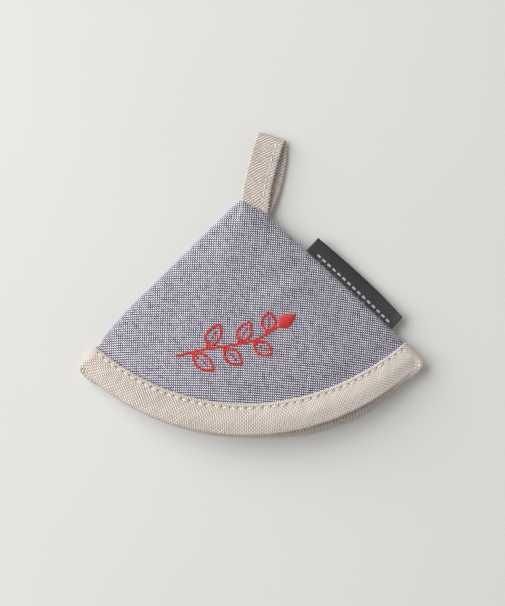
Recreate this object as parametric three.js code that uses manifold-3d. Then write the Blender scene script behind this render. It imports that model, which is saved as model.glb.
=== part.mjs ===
// A small oven mitt that slips over the fingertips, lying on its back: two padded quarter-circle panels
// joined at their sides into a flattened cone, a bias binding folded over the mouth, a loop of the same tape
// in the point, and a narrow folded label in the right-hand side seam.
// Millimetres. +Z is up, +X is to the right, and +Y runs from the mouth to the loop. The back panel lies at
// z = 0, and the origin is on the floor under the middle of the whole outline.

import * as THREE from 'three';
import { mergeVertices } from 'three/addons/utils/BufferGeometryUtils.js';
import Module from 'manifold-3d';

const wasm = await Module();
wasm.setup();

// Clearance between pieces that touch
const GAP = 0.3;

// Plan of the mitt: a sector about the centre of the mouth's curve. Each side edge passes the centre at an
// offset, and turns in a little towards the mouth.
const MOUTH_RADIUS = 100.4;
const POINT = { x: -1.5, y: 36.9 };
const SIDE_DEGREES = { left: 45.1, right: 47.4 };
const SIDE_OFFSET = { left: 1.2, right: -1.2 };
const SIDE_DRAW_IN_DEGREES = { left: 1.8, right: 0.6 };
const SIDE_DRAW_IN_FROM = 0.65;
const CORNER = { setBack: 1.6, reach: 5, from: 0.86 };

// Each panel: its padded and its pressed thickness, its rounded side edge and its side seam's flat band
const PANEL = { thickness: 2.6, pressed: 1.8, edgeRound: 3.5, seamBand: 3, innerRound: 5 };
const PRESS_LENGTH = 9;
const PANEL_START_RADIUS = 3;

// Height of the side seams above the floor, at the point and at the mouth
const SEAM_HEIGHT = { point: 3.1, mouth: 3.9 };

// How far the front panel arches over the pocket at the mouth, and how that fades to the point and the sides
const POCKET = { rise: 8.3, growth: 1.05, archPower: 2.3 };

// The front panel lies a little further back than the back panel: the shift at the mouth for each mm from a
// level
const LEAN = { x: -0.085, y: 0.05, level: 6 };

// Binding: tape folded over the mouth, with a rounded lip; it shows narrower towards the corners
const TAPE = { thickness: 0.9, shown: 12.9, narrowing: 2.5 };
const LIP = { round: 2.1, blunt: 0.15 };
const POCKET_CORNER = 8;

// Cuts across the point, where the loop comes out: each from a place at its left to a place at its right
const POINT_CUT = { left: { x: -4.6, y: 35.2 }, right: { x: 7.7, y: 28.5 } };
const POINT_BEVEL = { left: { x: -8.4, y: 32.6 }, right: { x: -3.3, y: 35.5 } };
const POINT_WASTE = 40;

// Hanging loop: a tape folded in half, seen from its edge as a teardrop (along = from the point outwards).
// Its two ends lie together in the point as a tab.
const LOOP = { width: 11.5, thickness: 1.3, tab: 6.5, turnDegrees: 13.1, x: 2.1, y: 31.7 };
// Its upper leg leans to the left and its lower leg to the right: the shift for each mm from a level, and
// where that starts
const LOOP_LEAN = { share: 0.36, level: 6.6, from: 5.5, length: 11 };
const LOOP_TEARDROP = [
  { along: 0, height: 2.42 },
  { along: 5, height: 1.35 },
  { along: 13, height: 0.95 },
  { along: 22.5, height: 1.15 },
  { along: 28.6, height: 2.6 },
  { along: 31.0, height: 5.1 },
  { along: 28.4, height: 7.6 },
  { along: 21.5, height: 8.7 },
  { along: 13, height: 7.9 },
  { along: 5, height: 5.0 },
  { along: 0, height: 3.78 },
];
const LOOP_SAMPLES = 44;
const TAB_STOPS = [1, 0.6, 0.2];

// Side label: a strip folded lengthways, its cut edges caught in the right-hand seam
const LABEL = { from: 34.8, to: 82.2, shown: 7, bow: 0.9, root: 2.2, layer: 0.5, droop: 1.1, curl: 0.5 };
const LABEL_FOLD_ROUND = 0.3;
const LABEL_BENDS = [0.3, 0.65];
const LABEL_STEPS = 14;

// Soft rises and hollows of the front panel: where they lie on it (mm from its point and to the right of
// its middle), half their length and width, the turn of their length from +X, and their height
const SWELLS = [
  { down: 41, right: 14, length: 11, width: 4, turnDegrees: 38, height: 0.75 },
  { down: 33, right: 15, length: 12, width: 4, turnDegrees: 34, height: -0.55 },
  { down: 55, right: -34, length: 14, width: 6, turnDegrees: 52, height: -0.45 },
  { down: 68, right: 34, length: 13, width: 7, turnDegrees: -40, height: 0.5 },
  { down: 75, right: -12, length: 18, width: 7, turnDegrees: -8, height: 0.4 },
  { down: 24, right: -6, length: 9, width: 5, turnDegrees: 60, height: 0.35 },
];
const SWELL_FADE = 3;

// Where the binding starts and where the panels inside it end
const BINDING_RADIUS = MOUTH_RADIUS - TAPE.shown;
const PANEL_END_RADIUS = MOUTH_RADIUS - TAPE.thickness - GAP;
const TAPE_OFFSET = TAPE.thickness + GAP;

// How finely the surfaces are divided: the steps across, and the rows between the point and the mouth
const ACROSS_STEPS = 30;
const PANEL_ROWS = [6, 10, 15, 21, 28, 35, 42, 49, 56, 63, 70, 76, 80, 83, 86, 89, 94];
const BINDING_ROWS = [90.5, 94, 97];
const LIP_ROWS = [1.2, 0.6, 0.2, 0];

// How far a cutting solid runs past what it cuts
const OVERRUN = { inwards: 2, outwards: 1 };

const radians = (degrees) => (degrees * Math.PI) / 180;
const clamp = (value) => Math.min(Math.max(value, 0), 1);
const mix = (from, to, share) => from + (to - from) * share;
const ease = (value) => clamp(value) ** 2 * (3 - 2 * clamp(value));
const roundOver = (value) => Math.sqrt(1 - (1 - clamp(value)) ** 2);

// Angle from the mitt's length to one of its side edges, at a distance from the point
function sideAngle(side, radius) {
  const drawn = ease((radius / MOUTH_RADIUS - SIDE_DRAW_IN_FROM) / (1 - SIDE_DRAW_IN_FROM));
  return radians(SIDE_DEGREES[side] - SIDE_DRAW_IN_DEGREES[side] * drawn) + SIDE_OFFSET[side] / radius;
}

// A place on the mitt: its distance from the point, from the middle and from the nearer side edge.
// step runs from -1 at the left edge to 1 at the right edge; inset keeps the whole row away from the edges.
function spotAt(radius, step, inset = 0) {
  const half = radius * sideAngle(step < 0 ? 'left' : 'right', radius);
  const across = (half - inset) * Math.sin((step * Math.PI) / 2);
  return { radius, across, half, edge: half - Math.abs(across) };
}

// A spot and a height as a point in space, with the mouth's corners rounded and the front set back
function placed(spot, height) {
  const angle = spot.across / spot.radius;
  const nearMouth = ease((spot.radius / MOUTH_RADIUS - CORNER.from) / (1 - CORNER.from));
  const setBack = CORNER.setBack * (1 - roundOver((spot.edge + TAPE_OFFSET) / CORNER.reach)) * nearMouth;
  const pastBinding = clamp((spot.radius - BINDING_RADIUS) / TAPE.shown);
  const nearBinding = ease(spot.radius / BINDING_RADIUS) * (1 - pastBinding);
  const narrowed = TAPE.narrowing * Math.abs(spot.across / spot.half) ** 3 * nearBinding;
  const radius = spot.radius - setBack + narrowed;
  const lean = ((height - LEAN.level) * spot.radius) / MOUTH_RADIUS;
  return new THREE.Vector3(
    POINT.x + radius * Math.sin(angle) + LEAN.x * lean,
    POINT.y - radius * Math.cos(angle) + LEAN.y * lean,
    height,
  );
}

const pressedShare = (radius) => ease((radius - BINDING_RADIUS + PRESS_LENGTH) / PRESS_LENGTH);
const panelThickness = (radius) => mix(PANEL.thickness, PANEL.pressed, pressedShare(radius));
const backLift = (radius) => TAPE_OFFSET * pressedShare(radius);
const seamHeight = (radius) => mix(SEAM_HEIGHT.point, SEAM_HEIGHT.mouth, radius / MOUTH_RADIUS);

// Height of the soft rises and hollows at a spot
function swellAt(spot) {
  const angle = spot.across / spot.radius;
  const right = spot.radius * Math.sin(angle);
  const down = spot.radius * Math.cos(angle);
  let height = 0;
  for (const swell of SWELLS) {
    const turn = radians(swell.turnDegrees);
    const dx = right - swell.right;
    const dy = swell.down - down;
    const lengthways = (dx * Math.cos(turn) + dy * Math.sin(turn)) / swell.length;
    const sideways = (dy * Math.cos(turn) - dx * Math.sin(turn)) / swell.width;
    height += swell.height * Math.exp(-(lengthways ** 2) - sideways ** 2);
  }
  return height;
}

// How far the front panel's inner face stands above the seam
function pocketRise(spot) {
  const inward = clamp((spot.edge - PANEL.seamBand) / Math.max(spot.half - PANEL.seamBand, 1));
  const arch = 1 - (1 - inward) ** POCKET.archPower;
  const crown = POCKET.rise * (spot.radius / MOUTH_RADIUS) ** POCKET.growth;
  const swellShare = ease(inward * SWELL_FADE) * (1 - pressedShare(spot.radius));
  return crown * arch + swellAt(spot) * swellShare;
}

const edgeShare = (spot, grow) => roundOver((spot.edge + grow) / (PANEL.edgeRound + grow));

// Heights of the four faces of the two panels, each moved away from its panel by grow
function backUnderside(spot, grow = 0, meet = seamHeight(spot.radius) - GAP / 2) {
  return mix(meet, backLift(spot.radius) - grow, edgeShare(spot, grow));
}

function backInside(spot, grow = 0) {
  const meet = seamHeight(spot.radius) - GAP / 2;
  const floor = backLift(spot.radius) + panelThickness(spot.radius);
  return mix(meet, floor, roundOver((spot.edge - PANEL.seamBand) / PANEL.innerRound)) + grow;
}

function frontInside(spot, grow = 0) {
  return seamHeight(spot.radius) + GAP / 2 + pocketRise(spot) - grow;
}

function frontTop(spot, grow = 0, meet = seamHeight(spot.radius) + GAP / 2) {
  const crown = frontInside(spot) + panelThickness(spot.radius) + grow;
  return mix(meet, crown, edgeShare(spot, grow));
}

// Collects corners and triangles, and makes one closed body of them
class Mesher {
  constructor() {
    this.positions = [];
    this.indices = [];
  }

  corner(point) {
    this.positions.push(point.x, point.y, point.z);
    return this.positions.length / 3 - 1;
  }

  triangle(a, b, c) {
    if (a !== b && b !== c && c !== a) {
      this.indices.push(a, b, c);
    }
  }

  quad(a, b, c, d) {
    this.triangle(a, b, c);
    this.triangle(a, c, d);
  }

  // Six times the enclosed volume, which is negative where the faces point inwards
  signedVolume() {
    const at = (index) => new THREE.Vector3().fromArray(this.positions, 3 * index);
    let sum = 0;
    for (let i = 0; i < this.indices.length; i += 3) {
      const [a, b, c] = this.indices.slice(i, i + 3).map(at);
      sum += a.dot(b.cross(c));
    }
    return sum;
  }

  solid() {
    const geometry = new THREE.BufferGeometry();
    geometry.setAttribute('position', new THREE.Float32BufferAttribute(this.positions, 3));
    geometry.setIndex(this.signedVolume() < 0 ? [...this.indices].reverse() : this.indices);
    return solidOf(geometry);
  }
}

// A solid for joining and cutting, from a closed geometry
function solidOf(geometry) {
  geometry.deleteAttribute('normal');
  geometry.deleteAttribute('uv');
  const merged = mergeVertices(geometry, 1e-5);
  const mesh = new wasm.Mesh({
    numProp: 3,
    vertProperties: new Float32Array(merged.attributes.position.array),
    triVerts: new Uint32Array(merged.index.array),
  });
  return new wasm.Manifold(mesh);
}

// The space between a lower and an upper face over part of the mitt's plan; it closes to an edge where they
// meet
function layer(radii, lower, upper, inset = 0) {
  const mesher = new Mesher();
  const rows = radii.map((radius) => {
    const row = [];
    for (let i = 0; i <= ACROSS_STEPS; i += 1) {
      const spot = spotAt(radius, (2 * i) / ACROSS_STEPS - 1, inset);
      const low = mesher.corner(placed(spot, lower(spot)));
      const closes = upper(spot) - lower(spot) < 1e-6;
      const high = closes ? low : mesher.corner(placed(spot, upper(spot)));
      row.push({ low, high });
    }
    return row;
  });
  for (let r = 0; r + 1 < rows.length; r += 1) {
    const near = rows[r];
    const far = rows[r + 1];
    for (let i = 0; i < ACROSS_STEPS; i += 1) {
      mesher.quad(near[i].high, far[i].high, far[i + 1].high, near[i + 1].high);
      mesher.quad(near[i].low, near[i + 1].low, far[i + 1].low, far[i].low);
    }
    for (const [i, flip] of [[0, false], [ACROSS_STEPS, true]]) {
      const [first, last] = flip ? [far[i], near[i]] : [near[i], far[i]];
      mesher.quad(first.low, last.low, last.high, first.high);
    }
  }
  const first = rows[0];
  const last = rows[rows.length - 1];
  for (let i = 0; i < ACROSS_STEPS; i += 1) {
    mesher.quad(first[i].low, first[i].high, first[i + 1].high, first[i + 1].low);
    mesher.quad(last[i].low, last[i + 1].low, last[i + 1].high, last[i].high);
  }
  return mesher.solid();
}

// A closed strip through sections with the same number of corners, its ends closed by the section's outline
function loft(sections, outline) {
  const mesher = new Mesher();
  const rings = sections.map((section) => section.map((point) => mesher.corner(point)));
  const count = outline.length;
  for (let s = 0; s + 1 < rings.length; s += 1) {
    for (let i = 0; i < count; i += 1) {
      const j = (i + 1) % count;
      mesher.quad(rings[s][i], rings[s][j], rings[s + 1][j], rings[s + 1][i]);
    }
  }
  const clockwise = THREE.ShapeUtils.isClockWise(outline);
  const start = rings[0];
  const end = rings[rings.length - 1];
  for (const [a, second, third] of THREE.ShapeUtils.triangulateShape([...outline], [])) {
    const [b, c] = clockwise ? [third, second] : [second, third];
    mesher.triangle(start[a], start[c], start[b]);
    mesher.triangle(end[a], end[b], end[c]);
  }
  return mesher.solid();
}

// The largest body of a solid, without the slivers that a cut leaves
function largestBody(solid) {
  const bodies = solid.decompose();
  return bodies.reduce((best, body) => (body.volume() > best.volume() ? body : best));
}

// What lies beyond a line across the point, on the loop's side of it
function beyondLine(line) {
  const along = new THREE.Vector2(line.right.x - line.left.x, line.right.y - line.left.y).normalize();
  const out = new THREE.Vector2(-along.y, along.x);
  const box = new THREE.BoxGeometry(POINT_WASTE, POINT_WASTE, POINT_WASTE);
  box.rotateZ(Math.atan2(along.y, along.x));
  const middle = { x: (line.left.x + line.right.x) / 2, y: (line.left.y + line.right.y) / 2 };
  box.translate(middle.x + (out.x * POINT_WASTE) / 2, middle.y + (out.y * POINT_WASTE) / 2, 0);
  return solidOf(box);
}

// Stops along the loop's middle line, seen edge-on, each moved off that line by a distance
function teardropLine(distance) {
  const curve = new THREE.SplineCurve(LOOP_TEARDROP.map((row) => new THREE.Vector2(row.along, row.height)));
  const line = [];
  for (let i = 0; i <= LOOP_SAMPLES; i += 1) {
    const point = curve.getPoint(i / LOOP_SAMPLES);
    const tangent = curve.getTangent(i / LOOP_SAMPLES);
    line.push(new THREE.Vector2(point.x + tangent.y * distance, point.y - tangent.x * distance));
  }
  return line;
}

// The same line with the two ends of the tape that lie together in the point
function tapeLine(distance) {
  const line = teardropLine(distance);
  const first = LOOP_TEARDROP[0].height - distance;
  const last = LOOP_TEARDROP[LOOP_TEARDROP.length - 1].height + distance;
  const stops = TAB_STOPS.map((share) => -LOOP.tab * share);
  return [
    ...stops.map((along) => new THREE.Vector2(along, first)),
    ...line,
    ...stops.reverse().map((along) => new THREE.Vector2(along, last)),
  ];
}

// A place on the loop: how far out of the point it lies, how far to the right of the loop's middle, how high
function inPoint(along, sideways, height) {
  const turn = radians(LOOP.turnDegrees);
  const leaning = ease((along - LOOP_LEAN.from) / LOOP_LEAN.length);
  const right = sideways + LOOP_LEAN.share * leaning * (LOOP_LEAN.level - height);
  return new THREE.Vector3(
    LOOP.x + along * Math.sin(turn) + right * Math.cos(turn),
    LOOP.y + along * Math.cos(turn) - right * Math.sin(turn),
    height,
  );
}

// An outline seen edge-on, as wide as asked, at the loop's place
function acrossPoint(outline, width) {
  const sides = [-width / 2, width / 2];
  return loft(sides.map((side) => outline.map((corner) => inPoint(corner.x, side, corner.y))), outline);
}

// The loop: one tape round the teardrop, its two ends joined into a tab inside the point
function hangingLoop() {
  const outer = tapeLine(LOOP.thickness / 2);
  const inner = tapeLine(-LOOP.thickness / 2);
  const half = LOOP.width / 2;
  const section = [[1, -half], [1, 0], [1, half], [-1, half], [-1, 0], [-1, -half]];
  const outline = section.map(([side, right]) => new THREE.Vector2(right, side));
  const sections = outer.map((point, i) => section.map(([side, right]) => {
    const corner = side > 0 ? point : inner[i];
    return inPoint(corner.x, right, corner.y);
  }));
  const middle = seamHeight(0);
  const core = [[-LOOP.tab, -1], [0, -1], [0, 1], [-LOOP.tab, 1]].map(
    ([along, side]) => new THREE.Vector2(along, middle + (side * LOOP.thickness) / 2),
  );
  return loft(sections, outline).add(acrossPoint(core, LOOP.width));
}

// The room that the loop and its tab take between the panels
function loopSlot() {
  const middle = seamHeight(0);
  const half = LOOP.thickness + GAP;
  const outline = [
    new THREE.Vector2(-LOOP.tab - GAP, middle - half),
    ...teardropLine(LOOP.thickness / 2 + GAP).filter((point) => point.x < LOOP_LEAN.from),
    new THREE.Vector2(-LOOP.tab - GAP, middle + half),
  ];
  return acrossPoint(outline, LOOP.width + 2 * GAP);
}

// A strip in the right-hand seam: outline rows give how far out of the seam a corner lies and how high
function stripInSeam(outline, fromRadius, toRadius) {
  const sections = [];
  for (let s = 0; s <= LABEL_STEPS; s += 1) {
    const share = s / LABEL_STEPS;
    const radius = mix(fromRadius, toRadius, share);
    const spot = spotAt(radius, 1);
    const height = seamHeight(radius);
    const foot = placed(spot, height);
    const angle = spot.across / spot.radius;
    const middling = Math.sin(share * Math.PI);
    sections.push(outline.map((corner) => {
      const reach = corner.x > 0 ? corner.x * (1 + (LABEL.bow / LABEL.shown) * middling) : corner.x;
      const outward = clamp(corner.x / LABEL.shown);
      const sag = (LABEL.droop * middling - LABEL.curl * (1 - middling)) * outward ** 2;
      return new THREE.Vector3(
        foot.x + reach * Math.cos(angle),
        foot.y + reach * Math.sin(angle),
        height + corner.y - sag,
      );
    }));
  }
  return loft(sections, outline);
}

// The label's section: two layers a little apart, joined by the fold at its outer edge
function sideLabel() {
  const half = LABEL.layer + GAP / 2;
  const slack = GAP / 2;
  const fold = LABEL.shown;
  const bends = LABEL_BENDS.map((share) => fold * share);
  const face = [-LABEL.root, ...bends, fold - LABEL_FOLD_ROUND];
  const inner = [-LABEL.root, ...bends, fold - LABEL.layer];
  const outline = [
    ...face.map((out) => new THREE.Vector2(out, -half)),
    new THREE.Vector2(fold, -slack),
    new THREE.Vector2(fold, slack),
    ...[...face].reverse().map((out) => new THREE.Vector2(out, half)),
    ...inner.map((out) => new THREE.Vector2(out, slack)),
    ...[...inner].reverse().map((out) => new THREE.Vector2(out, -slack)),
  ];
  return stripInSeam(outline, LABEL.from, LABEL.to);
}

// The room that the label's root takes between the panels
function labelSlot() {
  const half = LABEL.layer + GAP / 2 + GAP;
  const outline = [
    new THREE.Vector2(-LABEL.root - GAP, -half),
    new THREE.Vector2(GAP, -half),
    new THREE.Vector2(GAP, half),
    new THREE.Vector2(-LABEL.root - GAP, half),
  ];
  return stripInSeam(outline, LABEL.from - GAP, LABEL.to + GAP);
}

const panelRadii = [PANEL_START_RADIUS, ...PANEL_ROWS, PANEL_END_RADIUS];

// A panel without the room for the loop's tab and the label's root, and cut off at the point
function trimmed(panel) {
  const cuts = [loopSlot(), labelSlot(), beyondLine(POINT_CUT), beyondLine(POINT_BEVEL)];
  return largestBody(cuts.reduce((solid, cut) => solid.subtract(cut), panel));
}

function frontPanel() {
  return trimmed(layer(panelRadii, (spot) => frontInside(spot), (spot) => frontTop(spot)));
}

function backPanel() {
  return trimmed(layer(panelRadii, (spot) => backUnderside(spot), (spot) => backInside(spot)));
}

// How much of the lip's full depth is left, this close to the mouth's edge
const lipShare = (radius) => roundOver((MOUTH_RADIUS + LIP.blunt - radius) / LIP.round);

// The middle of a panel's pressed edge, from which the lip is rounded
function lipMiddle(spot, inside, direction) {
  const seam = seamHeight(spot.radius);
  const middle = inside + (direction * panelThickness(spot.radius)) / 2;
  return mix(seam, middle, edgeShare(spot, TAPE_OFFSET));
}

// The binding: all within a tape's thickness of the panels' mouth edges, less the panels and the pocket
function binding() {
  const seam = (spot) => seamHeight(spot.radius);
  const frontMiddle = (spot) => lipMiddle(spot, frontInside(spot), 1);
  const backMiddle = (spot) => lipMiddle(spot, backInside(spot), -1);
  const lipped = (spot, middle, face) => mix(middle, face, lipShare(spot.radius));

  const rows = [...BINDING_ROWS, ...LIP_ROWS.map((before) => MOUTH_RADIUS - before)];
  const start = BINDING_RADIUS - OVERRUN.inwards;
  const body = layer(
    [BINDING_RADIUS, ...rows],
    (spot) => lipped(spot, backMiddle(spot), backUnderside(spot, TAPE_OFFSET, seam(spot))),
    (spot) => lipped(spot, frontMiddle(spot), frontTop(spot, TAPE_OFFSET, seam(spot))),
    -TAPE_OFFSET,
  );
  const pocketFloor = (spot) => lipped(spot, backMiddle(spot), backInside(spot, TAPE_OFFSET));
  const pocketRoof = (spot) => lipped(spot, frontMiddle(spot), frontInside(spot, TAPE_OFFSET));
  const pocket = layer(
    [start, ...rows, MOUTH_RADIUS + OVERRUN.outwards],
    pocketFloor,
    (spot) => Math.max(pocketRoof(spot), pocketFloor(spot) + GAP),
    POCKET_CORNER,
  );
  const channelRadii = [start, ...PANEL_ROWS.filter((row) => row > start), PANEL_END_RADIUS + GAP];
  const frontChannel = layer(
    channelRadii,
    (spot) => frontInside(spot, GAP),
    (spot) => frontTop(spot, GAP, seam(spot)),
    -GAP,
  );
  const backChannel = layer(
    channelRadii,
    (spot) => backUnderside(spot, GAP, seam(spot)),
    (spot) => backInside(spot, GAP),
    -GAP,
  );
  return largestBody(body.subtract(pocket).subtract(frontChannel).subtract(backChannel));
}

const CLOTH = { chambray: 0x9a97a6, natural: 0xcdc3ba, satin: 0x464548 };

function finish(color, roughness) {
  return new THREE.MeshStandardMaterial({ color, roughness, metalness: 0 });
}

// A named mesh of the finished solid
function piece(name, solid, material) {
  const { vertProperties, triVerts } = solid.getMesh();
  const geometry = new THREE.BufferGeometry();
  geometry.setAttribute('position', new THREE.BufferAttribute(new Float32Array(vertProperties), 3));
  geometry.setIndex(new THREE.BufferAttribute(new Uint32Array(triVerts), 1));
  geometry.computeVertexNormals();
  const mesh = new THREE.Mesh(geometry, material);
  mesh.name = name;
  return mesh;
}

const group = new THREE.Group();
group.add(
  piece('front_panel', frontPanel(), finish(CLOTH.chambray, 0.92)),
  piece('back_panel', backPanel(), finish(CLOTH.chambray, 0.92)),
  piece('binding', binding(), finish(CLOTH.natural, 0.95)),
  piece('hanging_loop', hangingLoop(), finish(CLOTH.natural, 0.95)),
  piece('side_label', sideLabel(), finish(CLOTH.satin, 0.45)),
);

export default group;
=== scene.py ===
"""Looks of a small padded oven mitt that lies on its back.

Two padded quarter-circle panels are joined at their sides, a bias tape is folded over the mouth, a loop
of the same tape stands out of the point and a narrow satin label is caught in the right-hand seam. The
front carries a small sprig in raised red stitches. Sizes are in millimetres until a mesh is made, in metres.
"""

import logging
import math
from dataclasses import dataclass, field
from enum import Enum

import bmesh
import bpy
import numpy as np
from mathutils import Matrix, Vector, noise
from mathutils.bvhtree import BVHTree


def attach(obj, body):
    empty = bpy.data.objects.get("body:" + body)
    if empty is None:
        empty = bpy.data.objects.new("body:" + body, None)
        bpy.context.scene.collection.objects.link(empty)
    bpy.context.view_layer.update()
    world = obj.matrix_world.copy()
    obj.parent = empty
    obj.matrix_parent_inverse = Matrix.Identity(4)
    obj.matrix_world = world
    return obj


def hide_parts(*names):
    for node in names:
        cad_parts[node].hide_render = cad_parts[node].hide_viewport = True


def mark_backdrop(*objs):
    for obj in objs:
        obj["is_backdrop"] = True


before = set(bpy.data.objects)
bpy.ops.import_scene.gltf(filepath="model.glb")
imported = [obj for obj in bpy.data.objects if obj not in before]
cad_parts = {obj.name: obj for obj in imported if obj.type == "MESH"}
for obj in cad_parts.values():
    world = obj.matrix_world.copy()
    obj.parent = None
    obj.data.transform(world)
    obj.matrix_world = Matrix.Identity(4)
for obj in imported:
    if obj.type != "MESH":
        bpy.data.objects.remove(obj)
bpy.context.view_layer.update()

log = logging.getLogger("mitt")

MM = 0.001
TURN = 2 * math.pi
UV_SPAN = 100.0
JOIN_DISTANCE = 2e-7
EMPTY_DISTANCE = 1e-8
BODY = "root"


class Side(Enum):
    """The two side edges of the mitt."""

    LEFT = "left"
    RIGHT = "right"


class Face(Enum):
    """The two panels of the mitt."""

    FRONT = "front"
    BACK = "back"


def clamp(value: np.ndarray) -> np.ndarray:
    """Keep values between 0 and 1."""
    return np.clip(value, 0.0, 1.0)


def mix(start: np.ndarray, end: np.ndarray, share: np.ndarray) -> np.ndarray:
    """Go from start to end by a share."""
    return start + (end - start) * share


def ease(value: np.ndarray) -> np.ndarray:
    """Rise smoothly from 0 to 1."""
    return clamp(value) ** 2 * (3 - 2 * clamp(value))


def round_over(value: np.ndarray) -> np.ndarray:
    """Rise from 0 to 1 as a quarter circle does."""
    return np.sqrt(1 - (1 - clamp(value)) ** 2)


def bell(value: np.ndarray) -> np.ndarray:
    """Fall off from 1 on both sides of 0."""
    return np.exp(-np.square(value))


def roughness_field(x: np.ndarray, y: np.ndarray, length: float, seed: float) -> np.ndarray:
    """Smooth unevenness between about -1 and 1.

    Args:
        x: Places along the first direction, in millimetres.
        y: Places along the second direction, in millimetres.
        length: Size of the unevenness, in millimetres.
        seed: Any number, which picks another field.

    Returns:
        One value for each place.
    """
    flat_x, flat_y = np.broadcast_arrays(x, y)
    values = [
        noise.noise(Vector((a / length, b / length, seed)))
        for a, b in zip(flat_x.ravel(), flat_y.ravel())
    ]
    return np.array(values).reshape(flat_x.shape)


@dataclass(frozen=True)
class Spot:
    """Places on the mitt's plan, with distances from the point, from the middle and from the side edge."""

    radius: np.ndarray
    across: np.ndarray
    half: np.ndarray
    edge: np.ndarray

    @property
    def angle(self) -> np.ndarray:
        """Directions from the point, in radians from the mitt's length."""
        return self.across / self.radius

    def from_point(self) -> tuple[np.ndarray, np.ndarray]:
        """Distances to the right of the point and down from it."""
        return self.radius * np.sin(self.angle), self.radius * np.cos(self.angle)


@dataclass(frozen=True)
class Plan:
    """The mitt's plan: a sector about the centre of the mouth's curve."""

    mouth_radius: float = 100.4
    point_x: float = -1.5
    point_y: float = 36.9
    side_degrees: tuple[float, float] = (45.1, 46.8)
    side_offset: tuple[float, float] = (1.2, -0.2)
    draw_in_degrees: tuple[float, float] = (1.8, 0.6)
    draw_in_from: float = 0.65
    tape_shown: float = 12.9
    tape_narrowing: tuple[float, float] = (1.8, 2.5)
    tape_offset: float = 1.2
    panel_end: float = 99.2
    lean_x: float = -0.085
    lean_y: float = 0.05
    lean_level: float = 6.0
    cut: tuple[float, float, float, float] = (-4.6, 35.2, 7.7, 28.5)
    bevel: tuple[float, float, float, float] = (-8.4, 32.6, -3.3, 35.5)
    cut_nearest: float = 1.5
    cut_farthest: float = 30.0
    cut_level: float = 3.0
    cut_halvings: int = 26

    @property
    def binding_radius(self) -> float:
        """Where the binding starts."""
        return self.mouth_radius - self.tape_shown

    def side_angle(self, side: Side, radius: np.ndarray) -> np.ndarray:
        """Angle from the mitt's length to a side edge.

        Args:
            side: Which edge.
            radius: Distances from the point.

        Returns:
            The angles, in radians.
        """
        pick = 0 if side is Side.LEFT else 1
        drawn = ease((radius / self.mouth_radius - self.draw_in_from) / (1 - self.draw_in_from))
        degrees = self.side_degrees[pick] - self.draw_in_degrees[pick] * drawn
        return np.radians(degrees) + self.side_offset[pick] / radius

    def spot(self, radius: np.ndarray, step: np.ndarray, inset: float = 0.0) -> Spot:
        """Places on the mitt by their distance from the point and their share of the way across.

        Args:
            radius: Distances from the point.
            step: -1 at the left edge to 1 at the right edge.
            inset: How far the whole row stays away from the edges.

        Returns:
            The places.
        """
        radius, step = np.broadcast_arrays(np.asarray(radius, float), np.asarray(step, float))
        left = self.side_angle(Side.LEFT, radius)
        right = self.side_angle(Side.RIGHT, radius)
        half = radius * np.where(step < 0, left, right)
        across = (half - inset) * np.sin(step * np.pi / 2)
        return Spot(radius, across, half, half - np.abs(across))

    def place(self, spot: Spot, height: np.ndarray) -> np.ndarray:
        """Spots and heights as points.

        Args:
            spot: Places on the plan.
            height: Heights above the floor.

        Returns:
            Points, in millimetres, in the last axis.
        """
        share = spot.radius / self.mouth_radius
        past_binding = clamp((spot.radius - self.binding_radius) / self.tape_shown)
        near_binding = ease(spot.radius / self.binding_radius) * (1 - past_binding)
        narrowing = np.where(spot.across < 0, *self.tape_narrowing)
        narrowed = narrowing * np.abs(spot.across / spot.half) ** 3 * near_binding
        radius = spot.radius + narrowed
        lean = (height - self.lean_level) * share
        x = self.point_x + radius * np.sin(spot.angle) + self.lean_x * lean
        y = self.point_y - radius * np.cos(spot.angle) + self.lean_y * lean
        return np.stack(np.broadcast_arrays(x, y, height), axis=-1)

    def start_radius(self, step: np.ndarray) -> np.ndarray:
        """Where each column of places meets the cuts across the point.

        Args:
            step: -1 at the left edge to 1 at the right edge.

        Returns:
            Distances from the point.
        """
        low = np.full(step.shape, self.cut_nearest)
        high = np.full(step.shape, self.cut_farthest)
        for _ in range(self.cut_halvings):
            middle = (low + high) / 2
            at = self.place(self.spot(middle, step), np.full(step.shape, self.cut_level))
            beyond = np.zeros(step.shape, bool)
            for x0, y0, x1, y1 in (self.cut, self.bevel):
                cross = (x1 - x0) * (at[..., 1] - y0) - (y1 - y0) * (at[..., 0] - x0)
                beyond |= cross > 0
            low = np.where(beyond, middle, low)
            high = np.where(beyond, high, middle)
        return high


@dataclass(frozen=True)
class Swell:
    """A soft rise or hollow of the front panel."""

    down: float
    right: float
    length: float
    width: float
    turn_degrees: float
    height: float

    def at(self, right: np.ndarray, down: np.ndarray) -> np.ndarray:
        """Its height at places.

        Args:
            right: Places to the right of the mitt's middle.
            down: Places down from its point.

        Returns:
            Heights.
        """
        turn = math.radians(self.turn_degrees)
        dx = right - self.right
        dy = self.down - down
        lengthways = (dx * math.cos(turn) + dy * math.sin(turn)) / self.length
        sideways = (dy * math.cos(turn) - dx * math.sin(turn)) / self.width
        return self.height * np.exp(-(lengthways**2) - sideways**2)


SWELLS = (
    Swell(down=41, right=14, length=11, width=4, turn_degrees=38, height=0.75),
    Swell(down=33, right=15, length=12, width=4, turn_degrees=34, height=-0.55),
    Swell(down=55, right=-34, length=14, width=6, turn_degrees=52, height=-0.45),
    Swell(down=68, right=34, length=13, width=7, turn_degrees=-40, height=0.5),
    Swell(down=75, right=-12, length=18, width=7, turn_degrees=-8, height=0.4),
    Swell(down=24, right=-6, length=9, width=5, turn_degrees=60, height=0.35),
)

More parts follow.
